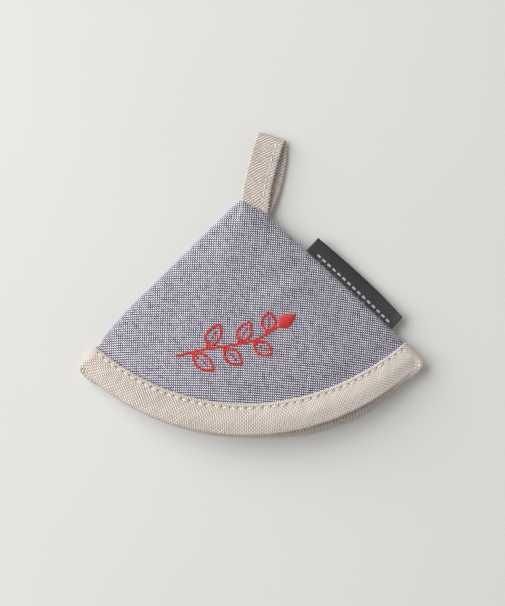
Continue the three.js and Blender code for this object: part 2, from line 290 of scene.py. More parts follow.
CREASES = (
    Swell(down=37, right=17, length=13, width=1.5, turn_degrees=36, height=-0.28),
    Swell(down=47, right=-20, length=16, width=2.2, turn_degrees=47, height=0.2),
    Swell(down=30, right=3, length=9, width=1.8, turn_degrees=58, height=-0.2),
    Swell(down=62, right=46, length=12, width=2.0, turn_degrees=-52, height=-0.2),
    Swell(down=79, right=20, length=14, width=2.4, turn_degrees=14, height=-0.16),
    Swell(down=70, right=-46, length=10, width=2.0, turn_degrees=38, height=0.18),
    Swell(down=56, right=28, length=12, width=2.6, turn_degrees=25, height=0.16),
)


@dataclass(frozen=True)
class Padding:
    """Heights of the four faces of the two padded panels, over the mitt's plan."""

    plan: Plan
    thickness: float = 2.6
    pressed: float = 1.8
    edge_round: float = 3.5
    seam_band: float = 3.0
    inner_round: float = 5.0
    press_length: float = 9.0
    seam_point: float = 3.1
    seam_mouth: float = 3.9
    slack: float = 0.04
    rise: float = 8.3
    growth: float = 1.05
    arch_power: float = 2.3
    swell_fade: float = 3.0
    label_half: float = 0.44
    label_from: float = 32.9
    label_to: float = 79.6
    label_root: float = 2.2
    tab_half: float = 1.36
    tab_reach: float = 5.5
    tab_fade: float = 1.4
    tab_length: float = 7.0

    def pressed_share(self, radius: np.ndarray) -> np.ndarray:
        """How far the padding is pressed flat by the binding."""
        return ease((radius - self.plan.binding_radius + self.press_length) / self.press_length)

    def full(self, radius: np.ndarray) -> np.ndarray:
        """Thickness of a panel."""
        return mix(self.thickness, self.pressed, self.pressed_share(radius))

    def seam(self, radius: np.ndarray) -> np.ndarray:
        """Height of the side seams."""
        return mix(self.seam_point, self.seam_mouth, radius / self.plan.mouth_radius)

    def floor_lift(self, radius: np.ndarray) -> np.ndarray:
        """How far the back panel lies above the floor."""
        return self.plan.tape_offset * self.pressed_share(radius)

    def pocket_rise(self, spot: Spot) -> np.ndarray:
        """How far the front panel arches over the pocket.

        Args:
            spot: Places on the plan.

        Returns:
            Heights above the seam.
        """
        room = np.maximum(spot.half - self.seam_band, 1.0)
        side = spot.half - np.abs(spot.across)
        inward = clamp((side - self.seam_band) / room)
        arch = 1 - (1 - inward) ** self.arch_power
        crown = self.rise * (spot.radius / self.plan.mouth_radius) ** self.growth
        right, down = spot.from_point()
        swelling = sum(swell.at(right, down) for swell in SWELLS)
        fade = ease(inward * self.swell_fade) * (1 - self.pressed_share(spot.radius))
        return crown * arch + swelling * fade

    def tab_lift(self, spot: Spot) -> np.ndarray:
        """Room that the loop's tab and the label's root take between the panels, above and below the seam.

        Args:
            spot: Places on the plan.

        Returns:
            Half the room's height.
        """
        at = self.plan.place(spot, self.seam(spot.radius))
        along, sideways = LOOP_PLACE.inwards(at[..., 0], at[..., 1])
        wide = 1 - ease((np.abs(sideways) - self.tab_reach) / self.tab_fade)
        deep = 1 - ease((-along - self.tab_length) / self.tab_fade)
        tab = self.tab_half * wide * deep
        begun = ease((spot.radius - self.label_from + 1.2) / self.tab_fade)
        ended = ease((spot.radius - self.label_to - 0.2) / self.tab_fade)
        rooted = 1 - ease((spot.edge - self.label_root) / self.tab_fade)
        label = np.where(spot.across > 0, self.label_half * begun * (1 - ended) * rooted, 0.0)
        return np.maximum(tab, label)

    def edge_share(self, spot: Spot, grow: float) -> np.ndarray:
        """How far a face has risen from the edge to its full height."""
        return round_over((spot.edge + grow) / (self.edge_round + grow))

    def front_inside(self, spot: Spot, grow: float = 0.0) -> np.ndarray:
        """Underside of the front panel, or that face lowered by grow."""
        return self.seam(spot.radius) + self.slack + self.pocket_rise(spot) - grow

    def front_top(self, spot: Spot, grow: float = 0.0) -> np.ndarray:
        """Top of the front panel, or that face raised by grow.

        Args:
            spot: Places on the plan.
            grow: How far the face is moved out of its panel.

        Returns:
            Heights.
        """
        meet = self.seam(spot.radius) + (self.slack if grow == 0 else 0.0)
        crown = self.front_inside(spot) + self.full(spot.radius) + grow
        return mix(meet, crown, self.edge_share(spot, grow))

    def back_inside(self, spot: Spot, grow: float = 0.0) -> np.ndarray:
        """Top of the back panel, or that face raised by grow.

        Args:
            spot: Places on the plan.
            grow: How far the face is moved out of its panel.

        Returns:
            Heights.
        """
        meet = self.seam(spot.radius) - self.slack
        floor = self.floor_lift(spot.radius) + self.full(spot.radius)
        return mix(meet, floor, round_over((spot.edge - self.seam_band) / self.inner_round)) + grow

    def back_underside(self, spot: Spot, grow: float = 0.0) -> np.ndarray:
        """Underside of the back panel, or that face lowered by grow.

        Args:
            spot: Places on the plan.
            grow: How far the face is moved out of its panel.

        Returns:
            Heights.
        """
        meet = self.seam(spot.radius) - (self.slack if grow == 0 else 0.0)
        return mix(meet, self.floor_lift(spot.radius) - grow, self.edge_share(spot, grow))


@dataclass(frozen=True)
class LoopPlace:
    """Where the hanging loop leaves the point."""

    x: float = 2.1
    y: float = 31.7
    turn_degrees: float = 13.1

    def inwards(self, x: np.ndarray, y: np.ndarray) -> tuple[np.ndarray, np.ndarray]:
        """Places on the plan as distances along the loop and to its right.

        Args:
            x: Places to the right.
            y: Places towards the loop.

        Returns:
            Distances along the loop and to the right of its middle.
        """
        turn = math.radians(self.turn_degrees)
        dx = x - self.x
        dy = y - self.y
        return dx * math.sin(turn) + dy * math.cos(turn), dx * math.cos(turn) - dy * math.sin(turn)

    def place(self, along: np.ndarray, sideways: np.ndarray, height: np.ndarray) -> np.ndarray:
        """Places on the loop as points.

        Args:
            along: Distances out of the point.
            sideways: Distances to the right of the loop's middle.
            height: Heights above the floor.

        Returns:
            Points, in millimetres.
        """
        turn = math.radians(self.turn_degrees)
        x = self.x + along * math.sin(turn) + sideways * math.cos(turn)
        y = self.y + along * math.cos(turn) - sideways * math.sin(turn)
        return np.stack(np.broadcast_arrays(x, y, height), axis=-1)


PLAN = Plan()
LOOP_PLACE = LoopPlace()
PADDING = Padding(PLAN)


@dataclass
class Surface:
    """Rows and columns of points with their flat places on the cloth, either way closed or open."""

    points: np.ndarray
    flat: np.ndarray
    finish: int = 0
    wraps_rows: bool = False
    wraps_columns: bool = False
    flips: bool = False


@dataclass
class MeshMaker:
    """Collects surfaces and makes one mesh object of them."""

    name: str
    corners: list = field(default_factory=list)
    faces: list = field(default_factory=list)
    flats: list = field(default_factory=list)
    finishes: list = field(default_factory=list)
    count: int = 0

    def add(self, surface: Surface) -> None:
        """Add a surface's points and its four-cornered faces.

        Args:
            surface: Points by row and column.
        """
        rows, columns = surface.points.shape[:2]
        last_row = rows if surface.wraps_rows else rows - 1
        last_column = columns if surface.wraps_columns else columns - 1
        i, j = np.meshgrid(np.arange(last_row), np.arange(last_column), indexing="ij")
        i = i.ravel()
        j = j.ravel()
        near = [(i, j), (i, j + 1), (i + 1, j + 1), (i + 1, j)]
        if surface.flips:
            near = near[::-1]
        at = [(a % rows) * columns + b % columns for a, b in near]
        self.corners.append(surface.points.reshape(-1, 3))
        self.faces.append(np.stack(at, axis=-1) + self.count)
        flat_rows, flat_columns = surface.flat.shape[:2]
        uv = [surface.flat[np.minimum(a, flat_rows - 1), np.minimum(b, flat_columns - 1)] for a, b in near]
        self.flats.append(np.stack(uv, axis=1).reshape(-1, 2))
        self.finishes.append(np.full(len(i), surface.finish))
        self.count += rows * columns

    def make(self, materials: list[bpy.types.Material], joins: bool = True) -> bpy.types.Object:
        """Make the mesh object.

        Args:
            materials: One for each finish number.
            joins: Whether points at one place become one point.

        Returns:
            The object, in metres, in the scene.
        """
        corners = np.concatenate(self.corners) * MM
        faces = np.concatenate(self.faces)
        mesh = bpy.data.meshes.new(self.name)
        mesh.from_pydata(corners.tolist(), [], faces.tolist())
        layer = mesh.uv_layers.new(name="cloth")
        layer.data.foreach_set("uv", (np.concatenate(self.flats) / UV_SPAN).ravel())
        mesh.polygons.foreach_set("material_index", np.concatenate(self.finishes))
        mesh.polygons.foreach_set("use_smooth", np.ones(len(faces), bool))
        for material in materials:
            mesh.materials.append(material)
        if joins:
            body = bmesh.new()
            body.from_mesh(mesh)
            bmesh.ops.remove_doubles(body, verts=body.verts, dist=JOIN_DISTANCE)
            bmesh.ops.dissolve_degenerate(body, edges=body.edges, dist=EMPTY_DISTANCE)
            bmesh.ops.recalc_face_normals(body, faces=body.faces)
            body.to_mesh(mesh)
            body.free()
        mesh.update()
        made = bpy.data.objects.new(self.name, mesh)
        bpy.context.scene.collection.objects.link(made)
        return made


def hold(piece: bpy.types.Object, slot: str, replaced: str | None = None) -> bpy.types.Object:
    """Fix a piece to the mitt.

    Args:
        piece: The piece.
        slot: The record's material slot, which is only logged.
        replaced: The solid that the piece stands for, if any.

    Returns:
        The piece.
    """
    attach(piece, BODY)
    if replaced is not None:
        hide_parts(replaced)
    faces = len(piece.data.polygons)
    log.info("%s: %d faces, slot %s, stands for %s", piece.name, faces, slot, replaced)
    return piece


@dataclass
class NodeDesk:
    """Builds one material's nodes."""

    material: bpy.types.Material

    @classmethod
    def named(cls, name: str) -> "NodeDesk":
        """A desk for a new material with no nodes."""
        material = bpy.data.materials.new(name)
        material.use_nodes = True
        material.node_tree.nodes.clear()
        return cls(material)

    def add(self, kind: str, **settings: object) -> bpy.types.Node:
        """Add a node.

        Args:
            kind: The node's type name.
            **settings: Properties to set on it.

        Returns:
            The node.
        """
        node = self.material.node_tree.nodes.new(kind)
        for key, value in settings.items():
            setattr(node, key, value)
        return node

    def join(self, source: object, target: bpy.types.NodeSocket) -> None:
        """Link a socket to an input, or set the input to a value."""
        if isinstance(source, bpy.types.NodeSocket):
            self.material.node_tree.links.new(source, target)
        else:
            target.default_value = source

    def math(self, operation: str, *terms: object, clamps: bool = False) -> bpy.types.NodeSocket:
        """Work out a number.

        Args:
            operation: The math node's operation.
            *terms: Sockets or numbers.
            clamps: Whether the result is kept between 0 and 1.

        Returns:
            The result.
        """
        node = self.add("ShaderNodeMath", operation=operation, use_clamp=clamps)
        for term, socket in zip(terms, node.inputs):
            self.join(term, socket)
        return node.outputs[0]

    def total(self, *terms: object) -> bpy.types.NodeSocket:
        """Add up several numbers."""
        result = terms[0]
        for term in terms[1:]:
            result = self.plus(result, term)
        return result

    def plus(self, first: object, second: object) -> bpy.types.NodeSocket:
        """Add two numbers."""
        return self.math("ADD", first, second)

    def minus(self, first: object, second: object) -> bpy.types.NodeSocket:
        """Take the second number from the first."""
        return self.math("SUBTRACT", first, second)

    def times(self, first: object, second: object) -> bpy.types.NodeSocket:
        """Multiply two numbers."""
        return self.math("MULTIPLY", first, second)

    def whole(self, value: object) -> bpy.types.NodeSocket:
        """Round a number."""
        return self.math("ROUND", value)

    def wave(self, value: object) -> bpy.types.NodeSocket:
        """A cosine that repeats with each whole number."""
        return self.math("COSINE", self.times(value, TURN))

    def centred(self, value: object) -> bpy.types.NodeSocket:
        """Shift a number that runs from 0 to 1, so that its middle is 0."""
        return self.minus(value, 0.5)

    def drift(self, where: object, scale: float, amount: float) -> bpy.types.NodeSocket:
        """Slow noise about 0.

        Args:
            where: Where.
            scale: How many features for each unit.
            amount: How far it runs from end to end.

        Returns:
            The noise.
        """
        return self.math("MULTIPLY_ADD", self.clouds(where, scale, 2.0), amount, -amount / 2)

    def lattice(
        self, warp: object, weft: object, slanted: object, balance: object, slant: float,
    ) -> bpy.types.NodeSocket:
        """A plain weave as waves across the warp, across the weft and aslant.

        Args:
            warp: Places counted in warp threads.
            weft: Places counted in weft threads.
            slanted: Places counted aslant.
            balance: Share of the warp's wave in the first two.
            slant: Share of the slanted wave.

        Returns:
            The sum of the waves.
        """
        return self.total(
            self.times(self.wave(warp), balance),
            self.times(self.wave(weft), self.minus(1.0, balance)),
            self.times(self.wave(slanted), slant),
        )

    def ranged(
        self, value: object, low: float, high: float, first: float, last: float,
    ) -> bpy.types.NodeSocket:
        """Map a number from one range to another, smoothly and clamped.

        Args:
            value: The number.
            low: Start of its range.
            high: End of its range.
            first: Result at the start.
            last: Result at the end.

        Returns:
            The result.
        """
        node = self.add("ShaderNodeMapRange", interpolation_type="SMOOTHSTEP")
        for term, socket in zip((value, low, high, first, last), node.inputs):
            self.join(term, socket)
        return node.outputs[0]

    def joined(self, x: object, y: object, z: object = 0.0) -> bpy.types.NodeSocket:
        """Make a vector of three numbers."""
        node = self.add("ShaderNodeCombineXYZ")
        for term, socket in zip((x, y, z), node.inputs):
            self.join(term, socket)
        return node.outputs[0]

    def clouds(
        self, vector: object, scale: float, detail: float, distortion: float = 0.0,
    ) -> bpy.types.NodeSocket:
        """Noise from 0 to 1 at a vector.

        Args:
            vector: Where.
            scale: How many features for each unit.
            detail: How many finer layers.
            distortion: How far it is drawn about.

        Returns:
            The noise.
        """
        node = self.add("ShaderNodeTexNoise")
        self.join(vector, node.inputs["Vector"])
        node.inputs["Scale"].default_value = scale
        node.inputs["Detail"].default_value = detail
        node.inputs["Distortion"].default_value = distortion
        return node.outputs[0]

    def speckle(self, vector: object) -> bpy.types.NodeSocket:
        """A random number from 0 to 1 for each vector."""
        node = self.add("ShaderNodeTexWhiteNoise", noise_dimensions="3D")
        self.join(vector, node.inputs["Vector"])
        return node.outputs["Value"]

    def cloth_places(self) -> tuple[bpy.types.NodeSocket, bpy.types.NodeSocket]:
        """The two distances along the cloth, in millimetres."""
        uv = self.add("ShaderNodeUVMap", uv_map="cloth")
        parts = self.add("ShaderNodeSeparateXYZ")
        self.join(uv.outputs[0], parts.inputs[0])
        return tuple(self.math("MULTIPLY", parts.outputs[k], UV_SPAN) for k in (0, 1))

    def shades(self, value: object, stops: list[tuple[float, tuple]]) -> bpy.types.NodeSocket:
        """Colours by a number.

        Args:
            value: The number, from 0 to 1.
            stops: Places and linear colours.

        Returns:
            The colour.
        """
        node = self.add("ShaderNodeValToRGB")
        ramp = node.color_ramp
        while len(ramp.elements) < len(stops):
            ramp.elements.new(0.5)
        for element, (place, colour) in zip(ramp.elements, stops):
            element.position = place
            element.color = (*colour, 1.0)
        self.join(value, node.inputs[0])
        return node.outputs[0]

    def join_colour(self, colour: object, socket: bpy.types.NodeSocket) -> None:
        """Give an input a colour socket or a colour."""
        self.join(colour if isinstance(colour, bpy.types.NodeSocket) else (*colour, 1.0), socket)

    def blended(self, share: object, first: object, second: object) -> bpy.types.NodeSocket:
        """Mix two colours.

        Args:
            share: How much of the second.
            first: A colour socket or colour.
            second: A colour socket or colour.

        Returns:
            The colour.
        """
        node = self.add("ShaderNodeMix", data_type="RGBA", blend_type="MIX")
        self.join(share, node.inputs[0])
        self.join_colour(first, node.inputs[6])
        self.join_colour(second, node.inputs[7])
        return node.outputs[2]

    def finish(
        self,
        colour: object,
        height: object,
        relief: float,
        roughness: object = 0.9,
        sheen: float = 0.0,
        sheen_roughness: float = 0.5,
        sheen_tint: tuple = (1.0, 1.0, 1.0),
        specular: float = 0.3,
    ) -> bpy.types.Material:
        """Close the material with its surface.

        Args:
            colour: Colour socket or colour.
            height: Relief socket from 0 to 1, or None.
            relief: Height of the relief, in millimetres.
            roughness: Roughness.
            sheen: Share of soft fuzz light.
            sheen_roughness: How widely it spreads.
            sheen_tint: Its colour.
            specular: Strength of the plain gloss.

        Returns:
            The material.
        """
        surface = self.add("ShaderNodeBsdfPrincipled")
        self.join_colour(colour, surface.inputs["Base Color"])
        self.join(roughness, surface.inputs["Roughness"])
        surface.inputs["Specular IOR Level"].default_value = specular
        surface.inputs["Sheen Weight"].default_value = sheen
        surface.inputs["Sheen Roughness"].default_value = sheen_roughness
        surface.inputs["Sheen Tint"].default_value = (*sheen_tint, 1.0)
        if height is not None:
            bump = self.add("ShaderNodeBump")
            bump.inputs["Strength"].default_value = 1.0
            bump.inputs["Distance"].default_value = relief * MM
            self.join(height, bump.inputs["Height"])
            self.join(bump.outputs[0], surface.inputs["Normal"])
        output = self.add("ShaderNodeOutputMaterial")
        self.join(surface.outputs[0], output.inputs[0])
        return self.material


@dataclass(frozen=True)
class Chambray:
    """Blue-grey warp and white weft in a plain weave, with slubs and patchy contrast."""

    name: str = "chambray"
    warp_pitch: float = 0.97
    weft_pitch: float = 0.99
    dark: tuple = (0.016, 0.014, 0.034)
    blue: tuple = (0.163, 0.153, 0.26)
    pale: tuple = (0.45, 0.435, 0.58)
    white: tuple = (0.94, 0.915, 1.0)
    stops: tuple = (0.25, 0.47, 0.63, 0.84)
    tone: float = 0.535
    relief: float = 0.22
    wander: float = 0.4
    wander_scale: float = 0.16
    slant: float = 0.72
    slub_scale: float = 1.3
    grain_contrast: float = 0.9
    weft_contrast: float = 0.9
    warp_contrast: float = 0.8
    least_contrast: float = 0.55
    lattice_share: float = 0.9
    speckle_share: float = 0.26
    weft_share: float = 0.3
    warp_share: float = 0.24
    patch_share: float = 0.16
    sheen_tint: tuple = (0.86, 0.86, 0.95)

    def threads(
        self, desk: NodeDesk, x: object, y: object,
    ) -> tuple[bpy.types.NodeSocket, bpy.types.NodeSocket]:
        """Places on the cloth counted in warp and weft threads, which wander a little.

        Args:
            desk: The material's nodes.
            x: Places along the cloth, in millimetres.
            y: Places across the cloth, in millimetres.

        Returns:
            The counts of warp and weft threads.
        """
        here = desk.joined(x, y)
        elsewhere = desk.joined(desk.plus(x, 37.0), desk.plus(y, 11.0))
        warp = desk.plus(x, desk.drift(here, self.wander_scale, self.wander))
        weft = desk.plus(y, desk.drift(elsewhere, self.wander_scale, self.wander))
        return desk.math("DIVIDE", warp, self.warp_pitch), desk.math("DIVIDE", weft, self.weft_pitch)

    def material(self) -> bpy.types.Material:
        """Build the woven finish."""
        desk = NodeDesk.named(self.name)
        x, y = desk.cloth_places()
        where = desk.joined(x, y)
        warp, weft = self.threads(desk, x, y)
        mixed = desk.math("MULTIPLY_ADD", y, 0.004, desk.clouds(where, 0.11, 1.0))
        balance = desk.ranged(mixed, 0.1, 0.5, 0.38, 0.56)
        lattice = desk.lattice(warp, weft, desk.plus(warp, weft), balance, self.slant)
        warp_thread = desk.whole(warp)
        weft_thread = desk.whole(weft)
        grain = desk.centred(desk.speckle(desk.joined(warp_thread, weft_thread)))
        across = desk.joined(desk.times(x, 0.09), desk.times(weft_thread, 0.77))
        along = desk.joined(desk.times(warp_thread, 0.71), desk.times(y, 0.08), 5.0)
        weft_slub = desk.centred(desk.clouds(across, self.slub_scale, 2.0))
        warp_slub = desk.centred(desk.clouds(along, self.slub_scale, 2.0))
        patches = desk.centred(desk.clouds(where, 0.24, 3.0, 0.6))
        contrast = desk.total(
            desk.times(grain, self.grain_contrast),
            desk.times(weft_slub, self.weft_contrast),
            desk.times(warp_slub, self.warp_contrast),
            1.0,
        )
        contrast = desk.math("MAXIMUM", contrast, self.least_contrast)
        tone = desk.total(
            desk.times(desk.times(lattice, self.lattice_share), contrast),
            desk.times(grain, self.speckle_share),
            desk.times(weft_slub, self.weft_share),
            desk.times(warp_slub, self.warp_share),
            desk.times(patches, self.patch_share),
            self.tone,
        )
        colour = desk.shades(tone, list(zip(self.stops, (self.dark, self.blue, self.pale, self.white))))
        fibres = desk.clouds(where, 3.5, 3.0)
        height = desk.plus(desk.times(lattice, 0.3), desk.times(fibres, 0.4))
        return desk.finish(
            colour, height, self.relief, roughness=0.92, sheen=0.35, sheen_roughness=0.45,
            sheen_tint=self.sheen_tint, specular=0.15,
        )


@dataclass(frozen=True)
class NaturalTape:
    """Undyed cotton and linen in a plain weave, cut on the bias, with needle holes along its stitching;
    painted shade darkens the holes and painted light makes the front paler towards the mitt's right.
    """

    name: str = "natural_tape"
    pitch: float = 1.02
    turn_degrees: float = 45.0
    dark: tuple = (0.20, 0.155, 0.125)
    middle: tuple = (0.58, 0.50, 0.45)
    light: tuple = (0.93, 0.87, 0.82)
    stops: tuple = (0.14, 0.5, 0.86)
    tone: float = 0.5
    relief: float = 0.16
    contrast: float = 0.3
    slant: float = 0.95
    warp_share: float = 0.45
    grain_share: float = 0.1
    slub_share: float = 0.26
    patch_share: float = 0.14
    stitch_from: float = 1.0
    stitch_pitch: float = 3.5
    stitch_line: float = 2.1
    hole_inner: float = 0.2
    hole_outer: float = 0.62
    # painted shade: the needle holes are darkened for the shade inside them
    hole_shade_share: float = 0.72
    hole_shade_colour: tuple = (0.2, 0.15, 0.115)
    # painted light: how much paler the front tape is painted towards the mitt's right, for light that falls
    # there
    painted_light: float = 0.17
    painted_light_to: float = 145.0
    painted_light_fade: float = 30.0

    def painted_light_right(self, desk: NodeDesk, x: object) -> bpy.types.NodeSocket:
        """Painted light: how much paler the tape is painted towards the mitt's right, on the front, standing
        in for light that falls on that end.

        Args:
            desk: The material's nodes.
            x: Distances round the mouth, in millimetres.

        Returns:
            What is added to the tone.
        """
        rising = desk.ranged(x, 0.0, self.painted_light_to, -0.2 * self.painted_light, self.painted_light)
        ending = desk.ranged(x, self.painted_light_to, self.painted_light_to + self.painted_light_fade, 0.0, self.painted_light)
        return desk.minus(rising, ending)

    def holes(self, desk: NodeDesk, x: object, y: object) -> bpy.types.NodeSocket:
        """Where the needle's holes are.

        Args:
            desk: The material's nodes.
            x: Distances round the mouth, in millimetres.
            y: Distances from the tape's edge, in millimetres.

        Returns:
            1 in a hole and 0 beside it.
        """
        beat = desk.math("DIVIDE", desk.minus(x, self.stitch_from), self.stitch_pitch)
        off_hole = desk.times(desk.minus(beat, desk.whole(beat)), self.stitch_pitch)
        off_line = desk.minus(y, self.stitch_line)
        squares = desk.plus(desk.math("POWER", off_hole, 2.0), desk.math("POWER", off_line, 2.0))
        return desk.ranged(desk.math("SQRT", squares), self.hole_inner, self.hole_outer, 1.0, 0.0)

    def material(self) -> bpy.types.Material:
        """Build the woven finish."""
        desk = NodeDesk.named(self.name)
        x, y = desk.cloth_places()
        where = desk.joined(x, y)
        cosine = math.cos(math.radians(self.turn_degrees)) / self.pitch
        sine = math.sin(math.radians(self.turn_degrees)) / self.pitch
        drift = desk.drift(where, 0.14, 0.5)
        warp = desk.total(desk.times(x, cosine), desk.times(y, sine), drift)
        weft = desk.total(desk.times(x, -sine), desk.times(y, cosine), drift)
        balance = desk.math("MULTIPLY_ADD", desk.clouds(where, 0.07, 1.0), 0.6, self.warp_share - 0.3)
        ribs = desk.lattice(warp, weft, desk.minus(weft, warp), balance, self.slant)
        warp_thread = desk.whole(warp)
        grain = desk.centred(desk.speckle(desk.joined(warp_thread, desk.whole(weft))))
        along = desk.joined(desk.times(warp_thread, 0.7), desk.times(weft, 0.07))
        slub = desk.centred(desk.clouds(along, 1.2, 2.0))
        patches = desk.centred(desk.clouds(where, 0.2, 3.0))
        tone = desk.total(
            desk.times(desk.times(ribs, self.contrast), desk.plus(grain, 1.0)),
            desk.times(grain, self.grain_share),
            desk.times(slub, self.slub_share),
            desk.times(patches, self.patch_share),
            # painted light: the front tape is painted paler towards the mitt's right
            self.painted_light_right(desk, x),
            self.tone,
        )
        colour = desk.shades(tone, list(zip(self.stops, (self.dark, self.middle, self.light))))
        hole = self.holes(desk, x, y)
        # painted shade darkens the satin tape in its needle holes
        colour = desk.blended(desk.times(hole, self.hole_shade_share), colour, self.hole_shade_colour)
        height = desk.total(
            desk.times(ribs, 0.2),
            desk.times(desk.clouds(where, 3.0, 3.0), 0.4),
            desk.times(hole, -1.6),
        )
        return desk.finish(
            colour, height, self.relief, roughness=0.93, sheen=0.2, sheen_roughness=0.5, specular=0.15,
        )


@dataclass(frozen=True)
class LiningCotton:
    """Plain natural cotton inside the pocket."""

    name: str = "lining_cotton"
    colour: tuple = (0.62, 0.575, 0.51)
    pitch: float = 0.6

    def material(self) -> bpy.types.Material:
        """Build the finish."""
        desk = NodeDesk.named(self.name)
        x, y = desk.cloth_places()
        where = desk.joined(x, y)
        columns = desk.math("COSINE", desk.times(x, TURN / self.pitch))
        rows = desk.math("COSINE", desk.times(y, TURN / self.pitch))
        weave = desk.math("MULTIPLY_ADD", desk.times(columns, rows), 0.25, 0.5)
        patches = desk.clouds(where, 0.4, 3.0)
        tone = desk.plus(desk.times(weave, 0.5), desk.times(patches, 0.5))
        dark = tuple(0.72 * part for part in self.colour)
        light = tuple(1.15 * part for part in self.colour)
        colour = desk.shades(tone, [(0.2, dark), (0.5, self.colour), (0.8, light)])
        return desk.finish(colour, weave, 0.1, roughness=0.95, sheen=0.15, specular=0.12)


@dataclass(frozen=True)
class LabelSatin:
    """Charcoal woven satin with a neat row of pale dashes beside the seam, and painted shade at the strip's
    two ends and beside its fold.
    """

    name: str = "label_satin"
    colour: tuple = (0.034, 0.034, 0.037)
    dash: tuple = (0.46, 0.46, 0.46)
    dash_pitch: float = 2.7
    dash_length: float = 1.6
    dash_width: float = 0.8
    dash_line: float = 2.0
    first: float = 4.05
    last: float = 44.55
    fold_at: float = 7.4
    length: float = 46.7

    def material(self) -> bpy.types.Material:
        """Build the finish."""
        desk = NodeDesk.named(self.name)
        x, y = desk.cloth_places()
        where = desk.joined(x, y)
        fine = desk.clouds(desk.joined(desk.times(x, 0.35), desk.times(y, 5.0)), 1.4, 2.0)
        soft = desk.clouds(where, 0.18, 2.0)
        tone = desk.total(desk.times(fine, 0.55), desk.times(soft, 0.45))
        dark = tuple(0.6 * part for part in self.colour)
        light = tuple(1.55 * part for part in self.colour)
        ground = desk.shades(tone, [(0.25, dark), (0.5, self.colour), (0.78, light)])
        beat = desk.math("DIVIDE", x, self.dash_pitch)
        off_dash = desk.math("ABSOLUTE", desk.minus(beat, desk.whole(beat)))
        dash_end = self.dash_length / 2 / self.dash_pitch
        lengthways = desk.ranged(off_dash, dash_end - 0.03, dash_end + 0.03, 1.0, 0.0)
        off_line = desk.math("ABSOLUTE", desk.minus(y, self.dash_line))
        sideways = desk.ranged(off_line, self.dash_width / 2 - 0.08, self.dash_width / 2 + 0.08, 1.0, 0.0)
        past_first = desk.math("GREATER_THAN", x, self.first)
        inside = desk.times(past_first, desk.math("LESS_THAN", x, self.last))
        mark = desk.times(desk.times(lengthways, sideways), inside)
        # painted shade: the satin is darkened near the strip's two cut ends and just before its fold, where
        # shade falls on the turning edges
        from_middle = desk.math("ABSOLUTE", desk.minus(x, self.length / 2))
        at_end = desk.ranged(from_middle, self.length / 2 - 0.5, self.length / 2 - 0.1, 0.0, 1.0)
        at_fold = desk.ranged(y, self.fold_at - 0.75, self.fold_at - 0.3, 0.0, 1.0)
        edge_shade = desk.times(desk.math("MAXIMUM", at_end, at_fold), 0.6)
        ground = desk.blended(edge_shade, ground, tuple(0.3 * part for part in self.colour))
        colour = desk.blended(mark, ground, self.dash)
        height = desk.total(desk.times(fine, 0.7), desk.times(mark, 0.8))
        return desk.finish(colour, height, 0.08, roughness=0.5, sheen=0.15, sheen_roughness=0.3, specular=0.5)


@dataclass(frozen=True)
class Thread:
    """Twisted thread."""

    name: str
    colour: tuple
    gloss: float = 0.3
    roughness: float = 0.6
    twist_pitch: float = 0.55
    twist_slant: float = 0.6

    def material(self) -> bpy.types.Material:
        """Build the finish."""
        desk = NodeDesk.named(self.name)
        x, y = desk.cloth_places()
        slanted = desk.plus(x, desk.times(y, self.twist_slant))
        strands = desk.math("SINE", desk.times(slanted, TURN / self.twist_pitch))
        tone = desk.math("MULTIPLY_ADD", strands, 0.3, 0.5)
        dark = tuple(0.5 * part for part in self.colour)
        light = tuple(min(1.3 * part, 1.0) for part in self.colour)
        colour = desk.shades(tone, [(0.1, dark), (0.5, self.colour), (0.9, light)])
        return desk.finish(
            colour, tone, 0.06, roughness=self.roughness, sheen=0.2, sheen_roughness=0.4, specular=self.gloss,
        )


def smooth_line(points: np.ndarray, count: int) -> np.ndarray:
    """A smooth line through points.

    Args:
        points: Places that it passes through.
        count: How many places to return.

    Returns:
        Places along the line, its first and last among them.
    """
    padded = np.vstack([points[0], points, points[-1]])
    places = np.linspace(0, len(points) - 1, count)
    index = np.minimum(places.astype(int), len(points) - 2)
    t = (places - index)[:, None]
    a, b, c, d = (padded[index + k] for k in range(4))
    v0 = (c - a) / 2
    v1 = (d - b) / 2
    return (2 * b - 2 * c + v0 + v1) * t**3 + (-3 * b + 3 * c - 2 * v0 - v1) * t**2 + v0 * t + b


def lengths_along(line: np.ndarray) -> np.ndarray:
    """Distances along a line of points, from its first."""
    gaps = np.linalg.norm(np.diff(line, axis=0), axis=-1)
    return np.concatenate([[0.0], np.cumsum(gaps)])


def values_at(values: np.ndarray, lengths: np.ndarray, wanted: np.ndarray) -> np.ndarray:
    """Values between those that are known along a line.

    Args:
        values: One row for each known place.
        lengths: The known places' distances along the line.
        wanted: Distances to read at.

    Returns:
        One row for each distance wanted, or a single row for a single distance.
    """
    return np.stack([np.interp(wanted, lengths, column) for column in values.T], axis=-1)


def at_lengths(line: np.ndarray, wanted: np.ndarray) -> np.ndarray:
    """Points at distances along a line.

    Args:
        line: The line's points.
        wanted: Distances from its first.

    Returns:
        One point for each distance.
    """
    return values_at(line, lengths_along(line), wanted)


def unit(vectors: np.ndarray) -> np.ndarray:
    """Vectors of length one."""
    return vectors / np.maximum(np.linalg.norm(vectors, axis=-1, keepdims=True), 1e-9)


def directions(degrees: float) -> tuple[np.ndarray, np.ndarray]:
    """The way along an angle from +X on the plan, and the way to its left."""
    turn = math.radians(degrees)
    along = np.array([math.cos(turn), math.sin(turn)])
    return along, np.array([-along[1], along[0]])


